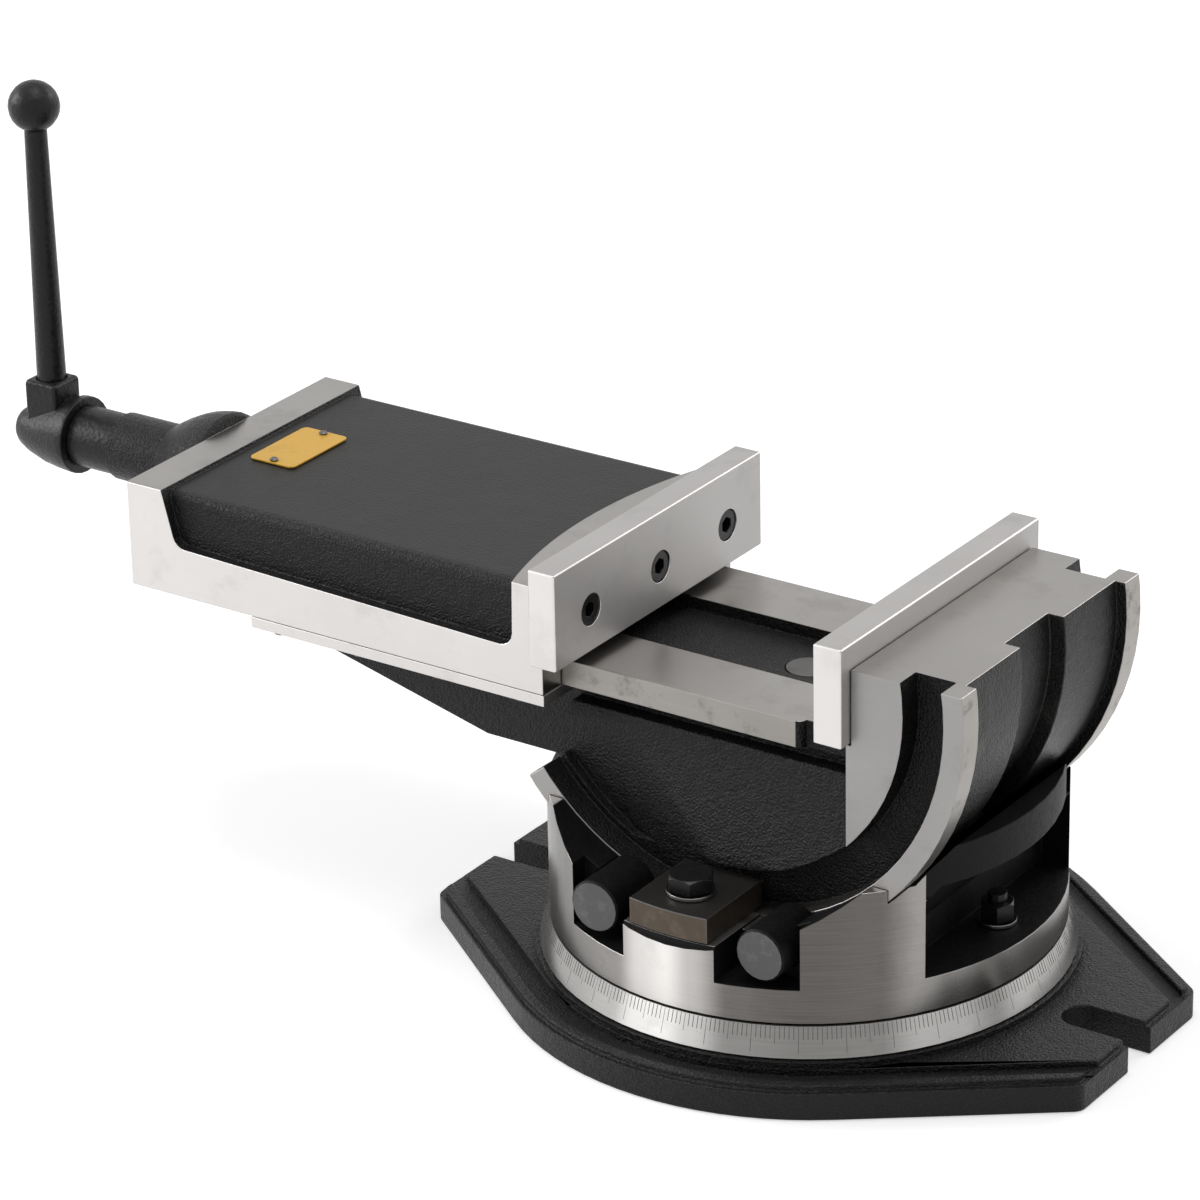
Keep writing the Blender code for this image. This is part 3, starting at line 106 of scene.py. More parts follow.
def makeStudio():
    scene = bpy.context.scene
    scene.view_settings.view_transform = "Standard"
    world = bpy.data.worlds.new("paleRoom")
    scene.world = world
    world.use_nodes = True
    tree = world.node_tree
    tree.nodes.clear()
    out = tree.nodes.new("ShaderNodeOutputWorld")
    seen = tree.nodes.new("ShaderNodeBackground")
    fill = tree.nodes.new("ShaderNodeBackground")
    seen.inputs["Color"].default_value = (1, 1, 1, 1)
    seen.inputs["Strength"].default_value = 1
    fill.inputs["Color"].default_value = (1, 1, 1, 1)
    fill.inputs["Strength"].default_value = studio["fill"]
    mix = tree.nodes.new("ShaderNodeMixShader")
    tree.links.new(whiteRays(tree), mix.inputs["Fac"])
    tree.links.new(fill.outputs[0], mix.inputs[1])
    tree.links.new(seen.outputs[0], mix.inputs[2])
    tree.links.new(mix.outputs[0], out.inputs["Surface"])

    bpy.ops.mesh.primitive_plane_add(size=studio["floorSize"])
    floor = bpy.context.object
    floor.name = "floor"
    floor.location.z = -studio["floorDrop"]
    seat(floor)
    skin = bpy.data.materials.new("floorWhite")
    skin.use_nodes = True
    tree = skin.node_tree
    shader = tree.nodes["Principled BSDF"]
    shader.inputs["Base Color"].default_value = studio["floorTone"]
    shader.inputs["Roughness"].default_value = 1
    shader.inputs["Specular IOR Level"].default_value = 0
    shader.inputs["Emission Color"].default_value = (1, 1, 1, 1)
    lift = tree.nodes.new("ShaderNodeMath")
    lift.operation = "MULTIPLY"
    lift.inputs[1].default_value = studio["floorLift"]
    tree.links.new(whiteRays(tree), lift.inputs[0])
    tree.links.new(lift.outputs[0], shader.inputs["Emission Strength"])
    floor.data.materials.append(skin)

    for name, (place, size, power) in studio["lamps"].items():
        bpy.ops.object.light_add(type="AREA", location=place)
        lamp = bpy.context.object
        lamp.name = name
        lamp.data.shape = "RECTANGLE"
        lamp.data.size, lamp.data.size_y = size
        lamp.data.energy = power
        aim = Vector(studio["aim"]) - Vector(place)
        lamp.rotation_euler = aim.to_track_quat("-Z", "Y").to_euler()


def whiteRays(tree):  # 1 for what the camera, a reflection or glass sees
    path = tree.nodes.new("ShaderNodeLightPath")
    first = tree.nodes.new("ShaderNodeMath")
    second = tree.nodes.new("ShaderNodeMath")
    first.operation = second.operation = "MAXIMUM"
    tree.links.new(path.outputs["Is Camera Ray"], first.inputs[0])
    tree.links.new(path.outputs["Is Glossy Ray"], first.inputs[1])
    tree.links.new(first.outputs[0], second.inputs[0])
    tree.links.new(path.outputs["Is Transmission Ray"], second.inputs[1])
    return second.outputs[0]


makeCamera()
makeStudio()
print("camera and studio ready")


# Shared effects as node groups
def newGroup(name, takes, gives):
    group = bpy.data.node_groups.new(name, "ShaderNodeTree")
    for label, kind, value in takes:
        socket = group.interface.new_socket(label, in_out="INPUT", socket_type=kind)
        socket.default_value = value
    for label, kind in gives:
        group.interface.new_socket(label, in_out="OUTPUT", socket_type=kind)
    inside = group.nodes.new("NodeGroupInput")
    outside = group.nodes.new("NodeGroupOutput")
    return group, inside, outside


def place3d(group):
    return group.nodes.new("ShaderNodeTexCoord").outputs["Object"]


def maths(group, operation, first, second=None, clamp=False):
    node = group.nodes.new("ShaderNodeMath")
    node.operation = operation
    node.use_clamp = clamp
    for slot, value in ((0, first), (1, second)):
        if value is None:
            continue
        if isinstance(value, (int, float)):
            node.inputs[slot].default_value = value
        else:
            group.links.new(value, node.inputs[slot])
    return node.outputs[0]


def noise(group, where, scale, detail=4, rough=0.55):
    node = group.nodes.new("ShaderNodeTexNoise")
    node.inputs["Detail"].default_value = detail
    node.inputs["Roughness"].default_value = rough
    group.links.new(where, node.inputs["Vector"])
    if isinstance(scale, (int, float)):
        node.inputs["Scale"].default_value = scale
    else:
        group.links.new(scale, node.inputs["Scale"])
    return node.outputs["Fac"]


def between(group, value, low, high):  # 0 below low, 1 above high
    ramp = group.nodes.new("ShaderNodeMapRange")
    ramp.interpolation_type = "SMOOTHSTEP"
    ramp.inputs["From Min"].default_value = low
    ramp.inputs["From Max"].default_value = high
    group.links.new(value, ramp.inputs["Value"])
    return ramp.outputs["Result"]


castPattern = {"grainFrom": 0.32, "grainTo": 0.72, "fine": 2600.0, "lumpShare": 1.1, "fineShare": 0.12,
               "grainTone": 0.45, "lumpTone": 0.6}


def makeCastGrain():  # sand cast skin under thick paint: pimples, soft lumps, fine grit
    group, inside, outside = newGroup(
        "castGrain",
        [("Grain", "NodeSocketFloat", 700.0), ("Lumps", "NodeSocketFloat", 90.0),
         ("Grit", "NodeSocketFloat", 0.5)],
        [("Height", "NodeSocketFloat"), ("Tone", "NodeSocketFloat")])
    where = place3d(group)
    grain = between(group, noise(group, where, inside.outputs["Grain"], 2, 0.5),
                    castPattern["grainFrom"], castPattern["grainTo"])
    lumps = noise(group, where, inside.outputs["Lumps"], 3, 0.55)
    fine = noise(group, where, castPattern["fine"], 2, 0.6)
    height = maths(group, "ADD", maths(group, "MULTIPLY", grain, inside.outputs["Grit"]),
                   maths(group, "MULTIPLY", lumps, castPattern["lumpShare"]))
    height = maths(group, "ADD", height, maths(group, "MULTIPLY", fine, castPattern["fineShare"]))
    group.links.new(height, outside.inputs["Height"])
    tone = maths(group, "ADD", maths(group, "MULTIPLY", grain, castPattern["grainTone"]),
                 maths(group, "MULTIPLY", lumps, castPattern["lumpTone"]))
    group.links.new(tone, outside.inputs["Tone"])
    return group


grindPattern = {"broad": 16.0, "lineTone": 0.3, "broadTone": 0.7}


def makeGrindLines():  # fine lines of grinding or milling along one direction
    group, inside, outside = newGroup(
        "grindLines",
        [("Along", "NodeSocketVector", (1.0, 1.0, 1.0)), ("Lines", "NodeSocketFloat", 900.0)],
        [("Height", "NodeSocketFloat"), ("Tone", "NodeSocketFloat")])
    stretch = group.nodes.new("ShaderNodeVectorMath")
    stretch.operation = "MULTIPLY"
    group.links.new(place3d(group), stretch.inputs[0])
    group.links.new(inside.outputs["Along"], stretch.inputs[1])
    lines = noise(group, stretch.outputs[0], inside.outputs["Lines"], 5, 0.7)
    broad = noise(group, place3d(group), grindPattern["broad"], 3, 0.55)
    group.links.new(lines, outside.inputs["Height"])
    tone = maths(group, "ADD", maths(group, "MULTIPLY", lines, grindPattern["lineTone"]),
                 maths(group, "MULTIPLY", broad, grindPattern["broadTone"]))
    group.links.new(tone, outside.inputs["Tone"])
    return group


# Painted reflection: how bright the turned wall and the dial are painted, by degrees round the upright
# axis, in place of the floor and the vise's shadow that they reflect
paintedReflection = ((-180, 0.30), (-150, 0.20), (-118, 0.18), (-104, 0.28), (-97, 0.80), (-90, 1.0), (-84, 0.55),
           (-75, 0.08), (-58, 0.03), (-43, 0.05), (-33, 0.28), (-24, 0.26), (-15, 0.08), (-6, 0.34),
           (8, 0.30), (30, 0.12), (70, 0.55), (84, 1.0), (96, 0.40), (112, 0.06), (138, 0.10), (158, 0.34))


turnPattern = {"lineTone": 0.10, "bandTone": 0.90}


def makeTurnLines():  # rings left by a lathe about an upright axis, and bands of painted reflection
    group, inside, outside = newGroup(
        "turnLines",
        [("Lines", "NodeSocketFloat", 1400.0), ("Drift", "NodeSocketFloat", 2.0),
         ("Bands", "NodeSocketFloat", 1.0)],
        [("Height", "NodeSocketFloat"), ("Tone", "NodeSocketFloat")])
    where = place3d(group)
    split = group.nodes.new("ShaderNodeSeparateXYZ")
    group.links.new(where, split.inputs[0])
    around = maths(group, "ARCTAN2", split.outputs["Y"], split.outputs["X"])
    join = group.nodes.new("ShaderNodeCombineXYZ")
    group.links.new(maths(group, "MULTIPLY", around, inside.outputs["Drift"]), join.inputs["X"])
    group.links.new(maths(group, "MULTIPLY", split.outputs["Z"], inside.outputs["Lines"]),
                    join.inputs["Y"])
    lines = noise(group, join.outputs[0], 1.0, 4, 0.65)
    dustAndReflection = group.nodes.new("ShaderNodeValToRGB")  # the same all the way up a wall
    dustAndReflection.color_ramp.interpolation = "EASE"
    stops = dustAndReflection.color_ramp.elements
    while len(stops) < len(paintedReflection):
        stops.new(0.5)
    for stop, (degree, tone) in zip(stops, paintedReflection):
        stop.position = (degree + 180) / 360
        stop.color = (tone, tone, tone, 1)
    turned = maths(group, "ADD", maths(group, "MULTIPLY", around, 0.5 / math.pi), 0.5)
    group.links.new(turned, dustAndReflection.inputs["Fac"])
    bands = maths(group, "POWER", dustAndReflection.outputs["Color"], inside.outputs["Bands"])
    group.links.new(lines, outside.inputs["Height"])
    tone = maths(group, "ADD", maths(group, "MULTIPLY", lines, turnPattern["lineTone"]),
                 maths(group, "MULTIPLY", bands, turnPattern["bandTone"]))
    group.links.new(tone, outside.inputs["Tone"])
    return group


dustPattern = {"patches": 45.0, "tone": (0.30, 0.29, 0.28)}


def makeDust():  # thin grey film that settles on faces that look up
    group, inside, outside = newGroup(
        "dustFilm", [("Amount", "NodeSocketFloat", 0.2)], [("Mask", "NodeSocketFloat")])
    facing = group.nodes.new("ShaderNodeNewGeometry")
    split = group.nodes.new("ShaderNodeSeparateXYZ")
    group.links.new(facing.outputs["Normal"], split.inputs[0])
    up = maths(group, "MAXIMUM", split.outputs["Z"], 0.0)
    patchy = noise(group, place3d(group), dustPattern["patches"], 5, 0.6)
    mask = maths(group, "MULTIPLY", up, patchy)
    group.links.new(maths(group, "MULTIPLY", mask, inside.outputs["Amount"], True),
                    outside.inputs["Mask"])
    return group


scuffPattern = {"from": 0.52, "to": 0.66, "brightest": 0.85}


def makeScuffs():  # patches where handling has worn a surface or left it stained
    group, inside, outside = newGroup(
        "scuffs", [("Size", "NodeSocketFloat", 120.0), ("Amount", "NodeSocketFloat", 0.3)],
        [("Mask", "NodeSocketFloat")])
    where = place3d(group)
    spots = noise(group, where, inside.outputs["Size"], 6, 0.68)
    bare = between(group, spots, scuffPattern["from"], scuffPattern["to"])
    group.links.new(maths(group, "MULTIPLY", bare, inside.outputs["Amount"], True),
                    outside.inputs["Mask"])
    return group


groups = {
    "cast": makeCastGrain(),
    "grind": makeGrindLines(),
    "turn": makeTurnLines(),
    "dust": makeDust(),
    "scuff": makeScuffs(),
}


# Finishes: two tones mixed by the pattern, roughness range, bump, metal, scuffs over it
finishes = {
    "blackCastPaint": dict(kind="cast", dark=(0.0030, 0.0030, 0.0032), light=(0.0125, 0.0125, 0.0130),
                           rough=(0.24, 0.42), bump=(1.0, 0.00045), metal=0.0, gloss=0.21,
                           set={"Grain": 1050.0, "Lumps": 210.0, "Grit": 0.65}, dust=0.03,
                           scuff=("lighter", 260.0, 0.10)),
    "blackTopPaint": dict(kind="cast", dark=(0.0052, 0.0050, 0.0050), light=(0.0135, 0.0130, 0.0128),
                          rough=(0.36, 0.50), bump=(0.8, 0.00022), metal=0.0, gloss=0.20,
                          set={"Grain": 900.0, "Lumps": 60.0, "Grit": 0.35}, dust=0.03,
                          scuff=("lighter", 60.0, 0.10)),
    "blackPocketPaint": dict(kind="cast", dark=(0.0022, 0.0022, 0.0023), light=(0.0065, 0.0065, 0.0068),
                             rough=(0.42, 0.60), bump=(0.6, 0.0002), metal=0.0, gloss=0.14,
                             set={"Grain": 520.0, "Lumps": 60.0, "Grit": 0.4}, dust=0.0,
                             scuff=("lighter", 160.0, 0.05)),
    "handleBlack": dict(kind="cast", dark=(0.0045, 0.0043, 0.0043), light=(0.014, 0.0133, 0.0133),
                        rough=(0.28, 0.44), bump=(0.8, 0.00028), metal=0.0, gloss=0.24,
                        set={"Grain": 620.0, "Lumps": 130.0, "Grit": 0.35}, dust=0.02,
                        scuff=("lighter", 200.0, 0.10)),
    "groundSteel": dict(kind="grind", dark=(0.64, 0.62, 0.605), light=(0.78, 0.76, 0.745),
                        rough=(0.30, 0.40), bump=(0.10, 0.00005), metal=1.0,
                        set={"Along": (6.0, 0.35, 6.0), "Lines": 260.0}, dust=0.0,
                        scuff=("darker", 24.0, 0.10)),
    # painted shade: a darker copy of the ground steel for the plates' tops, bottoms and faces towards -X
    "dullSteel": dict(kind="grind", dark=(0.37, 0.355, 0.345), light=(0.50, 0.485, 0.475),
                      rough=(0.30, 0.42), bump=(0.10, 0.00005), metal=1.0,
                      set={"Along": (6.0, 0.35, 6.0), "Lines": 260.0}, dust=0.0,
                      scuff=("darker", 24.0, 0.12)),
    "milledIron": dict(kind="grind", dark=(0.58, 0.56, 0.545), light=(0.74, 0.72, 0.705),
                       rough=(0.32, 0.44), bump=(0.12, 0.00006), metal=1.0,
                       set={"Along": (0.3, 6.0, 6.0), "Lines": 240.0}, dust=0.0,
                       scuff=("darker", 30.0, 0.12)),
    # painted shade: a darker copy of the milled iron for the drum's side faces
    "drumIron": dict(kind="grind", dark=(0.27, 0.262, 0.255), light=(0.40, 0.39, 0.382),
                     rough=(0.36, 0.48), bump=(0.12, 0.00006), metal=1.0,
                     set={"Along": (0.6, 6.0, 3.0), "Lines": 200.0}, dust=0.0,
                     scuff=("darker", 26.0, 0.18)),
    # painted shade: a darker, rougher copy of the ground steel for the plates' faces towards +X
    "plateFront": dict(kind="grind", dark=(0.42, 0.408, 0.398), light=(0.53, 0.517, 0.507),
                       rough=(0.52, 0.62), bump=(0.10, 0.00005), metal=1.0,
                       set={"Along": (6.0, 0.35, 6.0), "Lines": 260.0}, dust=0.0,
                       scuff=("darker", 24.0, 0.10)),
    "wayEdge": dict(kind="grind", dark=(0.21, 0.195, 0.18), light=(0.43, 0.415, 0.395),
                    rough=(0.34, 0.48), bump=(0.20, 0.00010), metal=1.0,
                    set={"Along": (0.4, 3.0, 2.0), "Lines": 120.0}, dust=0.0,
                    scuff=("darker", 55.0, 0.40)),
    "grooveSheen": dict(kind="cast", dark=(0.010, 0.0095, 0.009), light=(0.075, 0.070, 0.065),
                        rough=(0.30, 0.46), bump=(0.5, 0.00015), metal=0.4, gloss=0.4,
                        set={"Grain": 500.0, "Lumps": 45.0, "Grit": 0.4}, dust=0.0,
                        scuff=("lighter", 50.0, 0.45)),
    # the drum's right end: black paint a little lighter, with lighter patches, partly smudges and partly
    # painted sheen
    "drumPaint": dict(kind="cast", dark=(0.0055, 0.0052, 0.0050), light=(0.023, 0.022, 0.021),
                      rough=(0.26, 0.46), bump=(0.9, 0.00036), metal=0.0, gloss=0.26,
                      set={"Grain": 900.0, "Lumps": 120.0, "Grit": 0.5}, dust=0.0,
                      scuff=("lighter", 55.0, 0.42)),
    # painted shade: a darker copy of the milled iron for the tops of the ways and jaws and the moving
    # jaw's front
    "oiledWays": dict(kind="grind", dark=(0.26, 0.248, 0.238), light=(0.40, 0.385, 0.372),
                      rough=(0.26, 0.38), bump=(0.10, 0.00006), metal=1.0,
                      set={"Along": (0.3, 6.0, 6.0), "Lines": 220.0}, dust=0.0,
                      scuff=("darker", 36.0, 0.16)),
    "wornIron": dict(kind="grind", dark=(0.20, 0.185, 0.17), light=(0.50, 0.48, 0.46),
                     rough=(0.28, 0.44), bump=(0.25, 0.00012), metal=1.0,
                     set={"Along": (1.0, 1.6, 1.0), "Lines": 150.0}, dust=0.0,
                     scuff=("darker", 60.0, 0.60)),
    # the turned wall: its dark and light bands are painted reflection
    "turnedIron": dict(kind="turn", dark=(0.044, 0.038, 0.033), light=(0.90, 0.875, 0.85),
                       rough=(0.24, 0.36), bump=(0.12, 0.00006), metal=1.0,
                       set={"Lines": 1500.0, "Drift": 2.5, "Bands": 1.0}, dust=0.0,
                       scuff=("darker", 40.0, 0.08)),
    # the dial's cone: the same painted reflection bands, a little softer
    "dialSteel": dict(kind="turn", dark=(0.13, 0.125, 0.118), light=(0.93, 0.92, 0.90),
                      rough=(0.22, 0.32), bump=(0.08, 0.00005), metal=1.0,
                      set={"Lines": 1100.0, "Drift": 2.0, "Bands": 0.8}, dust=0.0,
                      scuff=("darker", 60.0, 0.10)),
    "grooveDark": dict(kind="cast", dark=(0.004, 0.004, 0.004), light=(0.014, 0.013, 0.012),
                       rough=(0.5, 0.7), bump=(0.4, 0.0001), metal=0.0, gloss=0.2,
                       set={"Grain": 900.0, "Lumps": 200.0, "Grit": 0.5}, dust=0.0,
                       scuff=("lighter", 120.0, 0.10)),
    "clampSteel": dict(kind="grind", dark=(0.052, 0.040, 0.030), light=(0.135, 0.108, 0.084),
                       rough=(0.36, 0.54), bump=(0.35, 0.00014), metal=0.85,
                       set={"Along": (1.2, 1.0, 1.6), "Lines": 120.0}, dust=0.0,
                       scuff=("lighter", 110.0, 0.12)),
    "clampTop": dict(kind="grind", dark=(0.0055, 0.0050, 0.0045), light=(0.015, 0.013, 0.011),
                     rough=(0.40, 0.56), bump=(0.30, 0.00012), metal=0.0, gloss=0.25,
                     set={"Along": (1.0, 1.0, 1.6), "Lines": 130.0}, dust=0.02,
                     scuff=("lighter", 90.0, 0.08)),
    "blackOxide": dict(kind="cast", dark=(0.009, 0.009, 0.0095), light=(0.024, 0.024, 0.0245),
                       rough=(0.24, 0.38), bump=(0.3, 0.00008), metal=0.6, gloss=0.4,
                       set={"Grain": 900.0, "Lumps": 160.0, "Grit": 0.3}, dust=0.0,
                       scuff=("lighter", 240.0, 0.12)),
    "pinSteel": dict(kind="grind", dark=(0.080, 0.080, 0.081), light=(0.130, 0.130, 0.131),
                     rough=(0.38, 0.50), bump=(0.15, 0.00006), metal=0.8,
                     set={"Along": (1.0, 1.0, 1.0), "Lines": 380.0}, dust=0.0,
                     scuff=("lighter", 160.0, 0.14)),
    "platedSteel": dict(kind="grind", dark=(0.30, 0.29, 0.28), light=(0.46, 0.45, 0.44),
                        rough=(0.26, 0.36), bump=(0.08, 0.00005), metal=1.0,
                        set={"Along": (1.0, 1.0, 1.0), "Lines": 400.0}, dust=0.0,
                        scuff=("darker", 90.0, 0.20)),
    "plugSteel": dict(kind="grind", dark=(0.085, 0.082, 0.079), light=(0.15, 0.145, 0.14),
                      rough=(0.34, 0.46), bump=(0.10, 0.00006), metal=0.9,
                      set={"Along": (1.0, 1.0, 1.0), "Lines": 300.0}, dust=0.03,
                      scuff=("darker", 120.0, 0.30)),
    "brassPlate": dict(kind="grind", dark=(0.60, 0.335, 0.030), light=(0.74, 0.43, 0.050),
                       rough=(0.34, 0.46), bump=(0.15, 0.00005), metal=0.30,
                       set={"Along": (5.0, 0.6, 1.0), "Lines": 200.0}, dust=0.0,
                       scuff=("darker", 70.0, 0.12)),
    "tickDark": dict(kind="grind", dark=(0.050, 0.048, 0.045), light=(0.12, 0.116, 0.11),
                     rough=(0.5, 0.6), bump=(0.05, 0.00004), metal=0.4,
                     set={"Along": (1.0, 1.0, 1.0), "Lines": 300.0}, dust=0.0,
                     scuff=("lighter", 60.0, 0.30)),
}
scuffTones = {"lighter": 2.6, "darker": 0.32}  # times the finish's light or dark tone


def makeFinish(name):
    look = finishes[name]
    made = bpy.data.materials.new(name)
    made.use_nodes = True
    tree = made.node_tree
    shader = tree.nodes["Principled BSDF"]
    shader.inputs["Metallic"].default_value = look["metal"]
    shader.inputs["Specular IOR Level"].default_value = look.get("gloss", 0.5)
    pattern = tree.nodes.new("ShaderNodeGroup")
    pattern.node_tree = groups[look["kind"]]
    for label, value in look["set"].items():
        pattern.inputs[label].default_value = value
    colour = blend(tree, pattern.outputs["Tone"], look["dark"], look["light"])
    shift, size, amount = look["scuff"]
    worn = tree.nodes.new("ShaderNodeGroup")
    worn.node_tree = groups["scuff"]
    worn.inputs["Size"].default_value = size
    worn.inputs["Amount"].default_value = amount
    base = look["light"] if shift == "lighter" else look["dark"]
    tone = tuple(min(scuffPattern["brightest"], part * scuffTones[shift]) for part in base)
    colour = blend(tree, worn.outputs["Mask"], colour, tone)
    if look["dust"] > 0:
        dustAndReflection = tree.nodes.new("ShaderNodeGroup")
        dustAndReflection.node_tree = groups["dust"]
        dustAndReflection.inputs["Amount"].default_value = look["dust"]
        colour = blend(tree, dustAndReflection.outputs["Mask"], colour, dustPattern["tone"])
    tree.links.new(colour, shader.inputs["Base Color"])
    spread = tree.nodes.new("ShaderNodeMapRange")
    spread.inputs["To Min"].default_value, spread.inputs["To Max"].default_value = look["rough"]
    tree.links.new(pattern.outputs["Tone"], spread.inputs["Value"])
    tree.links.new(spread.outputs["Result"], shader.inputs["Roughness"])
    bump = tree.nodes.new("ShaderNodeBump")
    bump.inputs["Strength"].default_value, bump.inputs["Distance"].default_value = look["bump"]
    tree.links.new(pattern.outputs["Height"], bump.inputs["Height"])
    tree.links.new(bump.outputs["Normal"], shader.inputs["Normal"])
    return made


def blend(tree, mask, first, second):  # colours or sockets, mixed by a mask
    mix = tree.nodes.new("ShaderNodeMix")
    mix.data_type = "RGBA"
    tree.links.new(mask, mix.inputs["Factor"])
    for label, value in (("A", first), ("B", second)):
        if isinstance(value, tuple):
            mix.inputs[label].default_value = (*value, 1)
        else:
            tree.links.new(value, mix.inputs[label])
    return mix.outputs["Result"]


skins = {name: makeFinish(name) for name in finishes}
print("finishes ready:", len(skins))


# A merged copy of a node, its faces painted or machined, its edges eased
easing = {"merge": 0.05 * mm, "flat": 0.8, "sharp": 30, "room": 0.42}
eased = {"base": 0.8 * mm, "dial": 0.45 * mm, "swivel": 0.45 * mm, "pin": 0.0, "clamp": 0.45 * mm,
         "washer": 0.25 * mm, "clampBolt": 0.3 * mm, "swivelNut": 0.25 * mm, "bed": 0.6 * mm,
         "plug": 0.3 * mm, "jawPlate": 0.3 * mm, "plateScrew": 0.3 * mm, "jaw": 0.6 * mm,
         "keepPlate": 0.4 * mm, "keepScrew": 0.2 * mm, "rivet": 0.0, "namePlate": 0.15 * mm,
         "handle": 0.5 * mm, "ball": 0.0, "hubPin": 0.3 * mm}


def markSharpEdges(piece, width, spare):  # an edge beside a short one is eased less
    shape = bmesh.new()
    shape.from_mesh(piece.data)
    weight = shape.edges.layers.float.new("bevel_weight_edge")
    for edge in shape.edges:
        if len(edge.link_faces) != 2 or edge.calc_face_angle() < math.radians(easing["sharp"]):
            continue
        near = min(other.calc_length() for corner in edge.verts for other in corner.link_edges)
        edge[weight] = min(1.0, easing["room"] * near / width)
        if spare:
            share = spare((edge.verts[0].co + edge.verts[1].co) / 2 / mm)
            edge[weight] = min(edge[weight], share)
    shape.to_mesh(piece.data)
    shape.free()


def dress(node, name, body, looks, choose=None, edge=0.0, rounds=2, edgeSkin=None,
          smooth=40, spare=None):
    piece = bpy.data.objects.new(name, nodes[node].data.copy())
    bpy.context.scene.collection.objects.link(piece)
    only(piece)
    bpy.ops.object.mode_set(mode="EDIT")
    bpy.ops.mesh.select_all(action="SELECT")
    bpy.ops.mesh.remove_doubles(threshold=easing["merge"])
    bpy.ops.mesh.dissolve_limited(angle_limit=math.radians(easing["flat"]))
    bpy.ops.object.mode_set(mode="OBJECT")
    piece.data.materials.clear()
    for look in looks:
        piece.data.materials.append(skins[look])
    for face in piece.data.polygons:
        face.material_index = looks.index(choose(face.center / mm, face.normal)) if choose else 0
    if edge > 0:
        markSharpEdges(piece, edge, spare)
        ease = piece.modifiers.new("easedEdges", "BEVEL")
        ease.width = edge
        ease.segments = rounds
        ease.limit_method = "WEIGHT"
        ease.use_clamp_overlap = False
        if edgeSkin:
            ease.material = looks.index(edgeSkin)
    applyAll(piece)
    bpy.ops.object.shade_smooth_by_angle(angle=math.radians(smooth))
    weigh = piece.modifiers.new("flatFaces", "WEIGHTED_NORMAL")
    weigh.keep_sharp = True
    applyAll(piece)
    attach(piece, body)
    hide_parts(node)
    return piece


# Base plate with ears, and the dial
basePlate = {"bossFrom": 104, "bossTo": 114, "bossHead": 18, "slotTo": 98,
             "besideBoss": 0.12, "inSlot": 0.0, "elsewhere": 1.0}


def baseEasing(place):  # none in the ring slot, little where the trough runs close past the boss
    around = math.hypot(place.x, place.y)
    if around < basePlate["slotTo"]:
        return basePlate["inSlot"]
    besideBoss = basePlate["bossFrom"] < around < basePlate["bossTo"]
    if besideBoss and place.z < basePlate["bossHead"]:
        return basePlate["besideBoss"]
    return basePlate["elsewhere"]


dress("base_casting", "basePlate", "base", ["blackCastPaint"],
      edge=eased["base"], spare=baseEasing)
dress("degree_ring", "dialRing", "base", ["dialSteel", "grooveDark"],
      lambda place, facing: "dialSteel", edge=eased["dial"], edgeSkin="grooveDark")
print("base done")


# Degree marks on the cone of the dial: one span of ten, then turned round
dialMarks = {
    "top": 29.2 * mm, "topRadius": 105.2 * mm, "slope": 4.5 / 12.8,
    "width": 0.24 * mm, "depth": 0.30 * mm, "proud": 0.03 * mm, "edge": 0.05 * mm,
    "one": 5.0 * mm, "five": 7.0 * mm, "ten": 10.6 * mm, "span": 10,
}


def makeDialMarks():
    marks = []
    lean = math.atan(dialMarks["slope"])
    for degree in range(dialMarks["span"]):
        reach = dialMarks["ten"] if degree == 0 else (
            dialMarks["five"] if degree == 5 else dialMarks["one"])
        bpy.ops.object.select_all(action="DESELECT")
        bpy.ops.mesh.primitive_cube_add(size=1)
        mark = bpy.context.object
        mark.scale = (dialMarks["depth"], dialMarks["width"], reach)
        seat(mark)
        bpy.ops.object.mode_set(mode="EDIT")
        bpy.ops.mesh.select_all(action="SELECT")
        bpy.ops.mesh.bevel(offset=dialMarks["edge"], segments=1, affect="EDGES")
        bpy.ops.object.mode_set(mode="OBJECT")
        drop = Matrix.Translation((0, 0, -reach / 2))
        tilt = Matrix.Rotation(-lean, 4, "Y")
        shift = dialMarks["topRadius"] - dialMarks["depth"] / 2 + dialMarks["proud"]
        out = Matrix.Translation((shift, 0, dialMarks["top"]))
        around = Matrix.Rotation(math.radians(degree), 4, "Z")
        mark.matrix_world = around @ out @ tilt @ drop
        marks.append(mark)
    for mark in marks:
        mark.select_set(True)
    bpy.context.view_layer.objects.active = marks[0]
    bpy.ops.object.join()
    piece = bpy.context.object
    seat(piece)
    bpy.ops.object.mode_set(mode="EDIT")
    bpy.ops.mesh.select_all(action="SELECT")
    bpy.ops.mesh.spin(steps=360 // dialMarks["span"], use_auto_merge=False, dupli=True,
                      angle=math.radians(360), center=(0, 0, 0), axis=(0, 0, 1))
    bpy.ops.mesh.select_all(action="SELECT")
    bpy.ops.mesh.remove_doubles(threshold=0.002 * mm)
    bpy.ops.mesh.normals_make_consistent(inside=False)
    bpy.ops.object.mode_set(mode="OBJECT")
    piece.name = "dialMarks"
    piece.data.materials.clear()
    piece.data.materials.append(skins["tickDark"])
    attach(piece, "base")
    return piece


makeDialMarks()
print("dial marked")


# Swivel body: turned outside, painted pockets
swivelBody = {"outside": 104.2, "padTop": 60.3, "wallTop": 86, "paintFrom": 80,
              "pocketFloor": 45, "upright": 0.2, "level": 0.95, "room": 1}
clampFaces = {"end": 0.9, "top": 0.7}


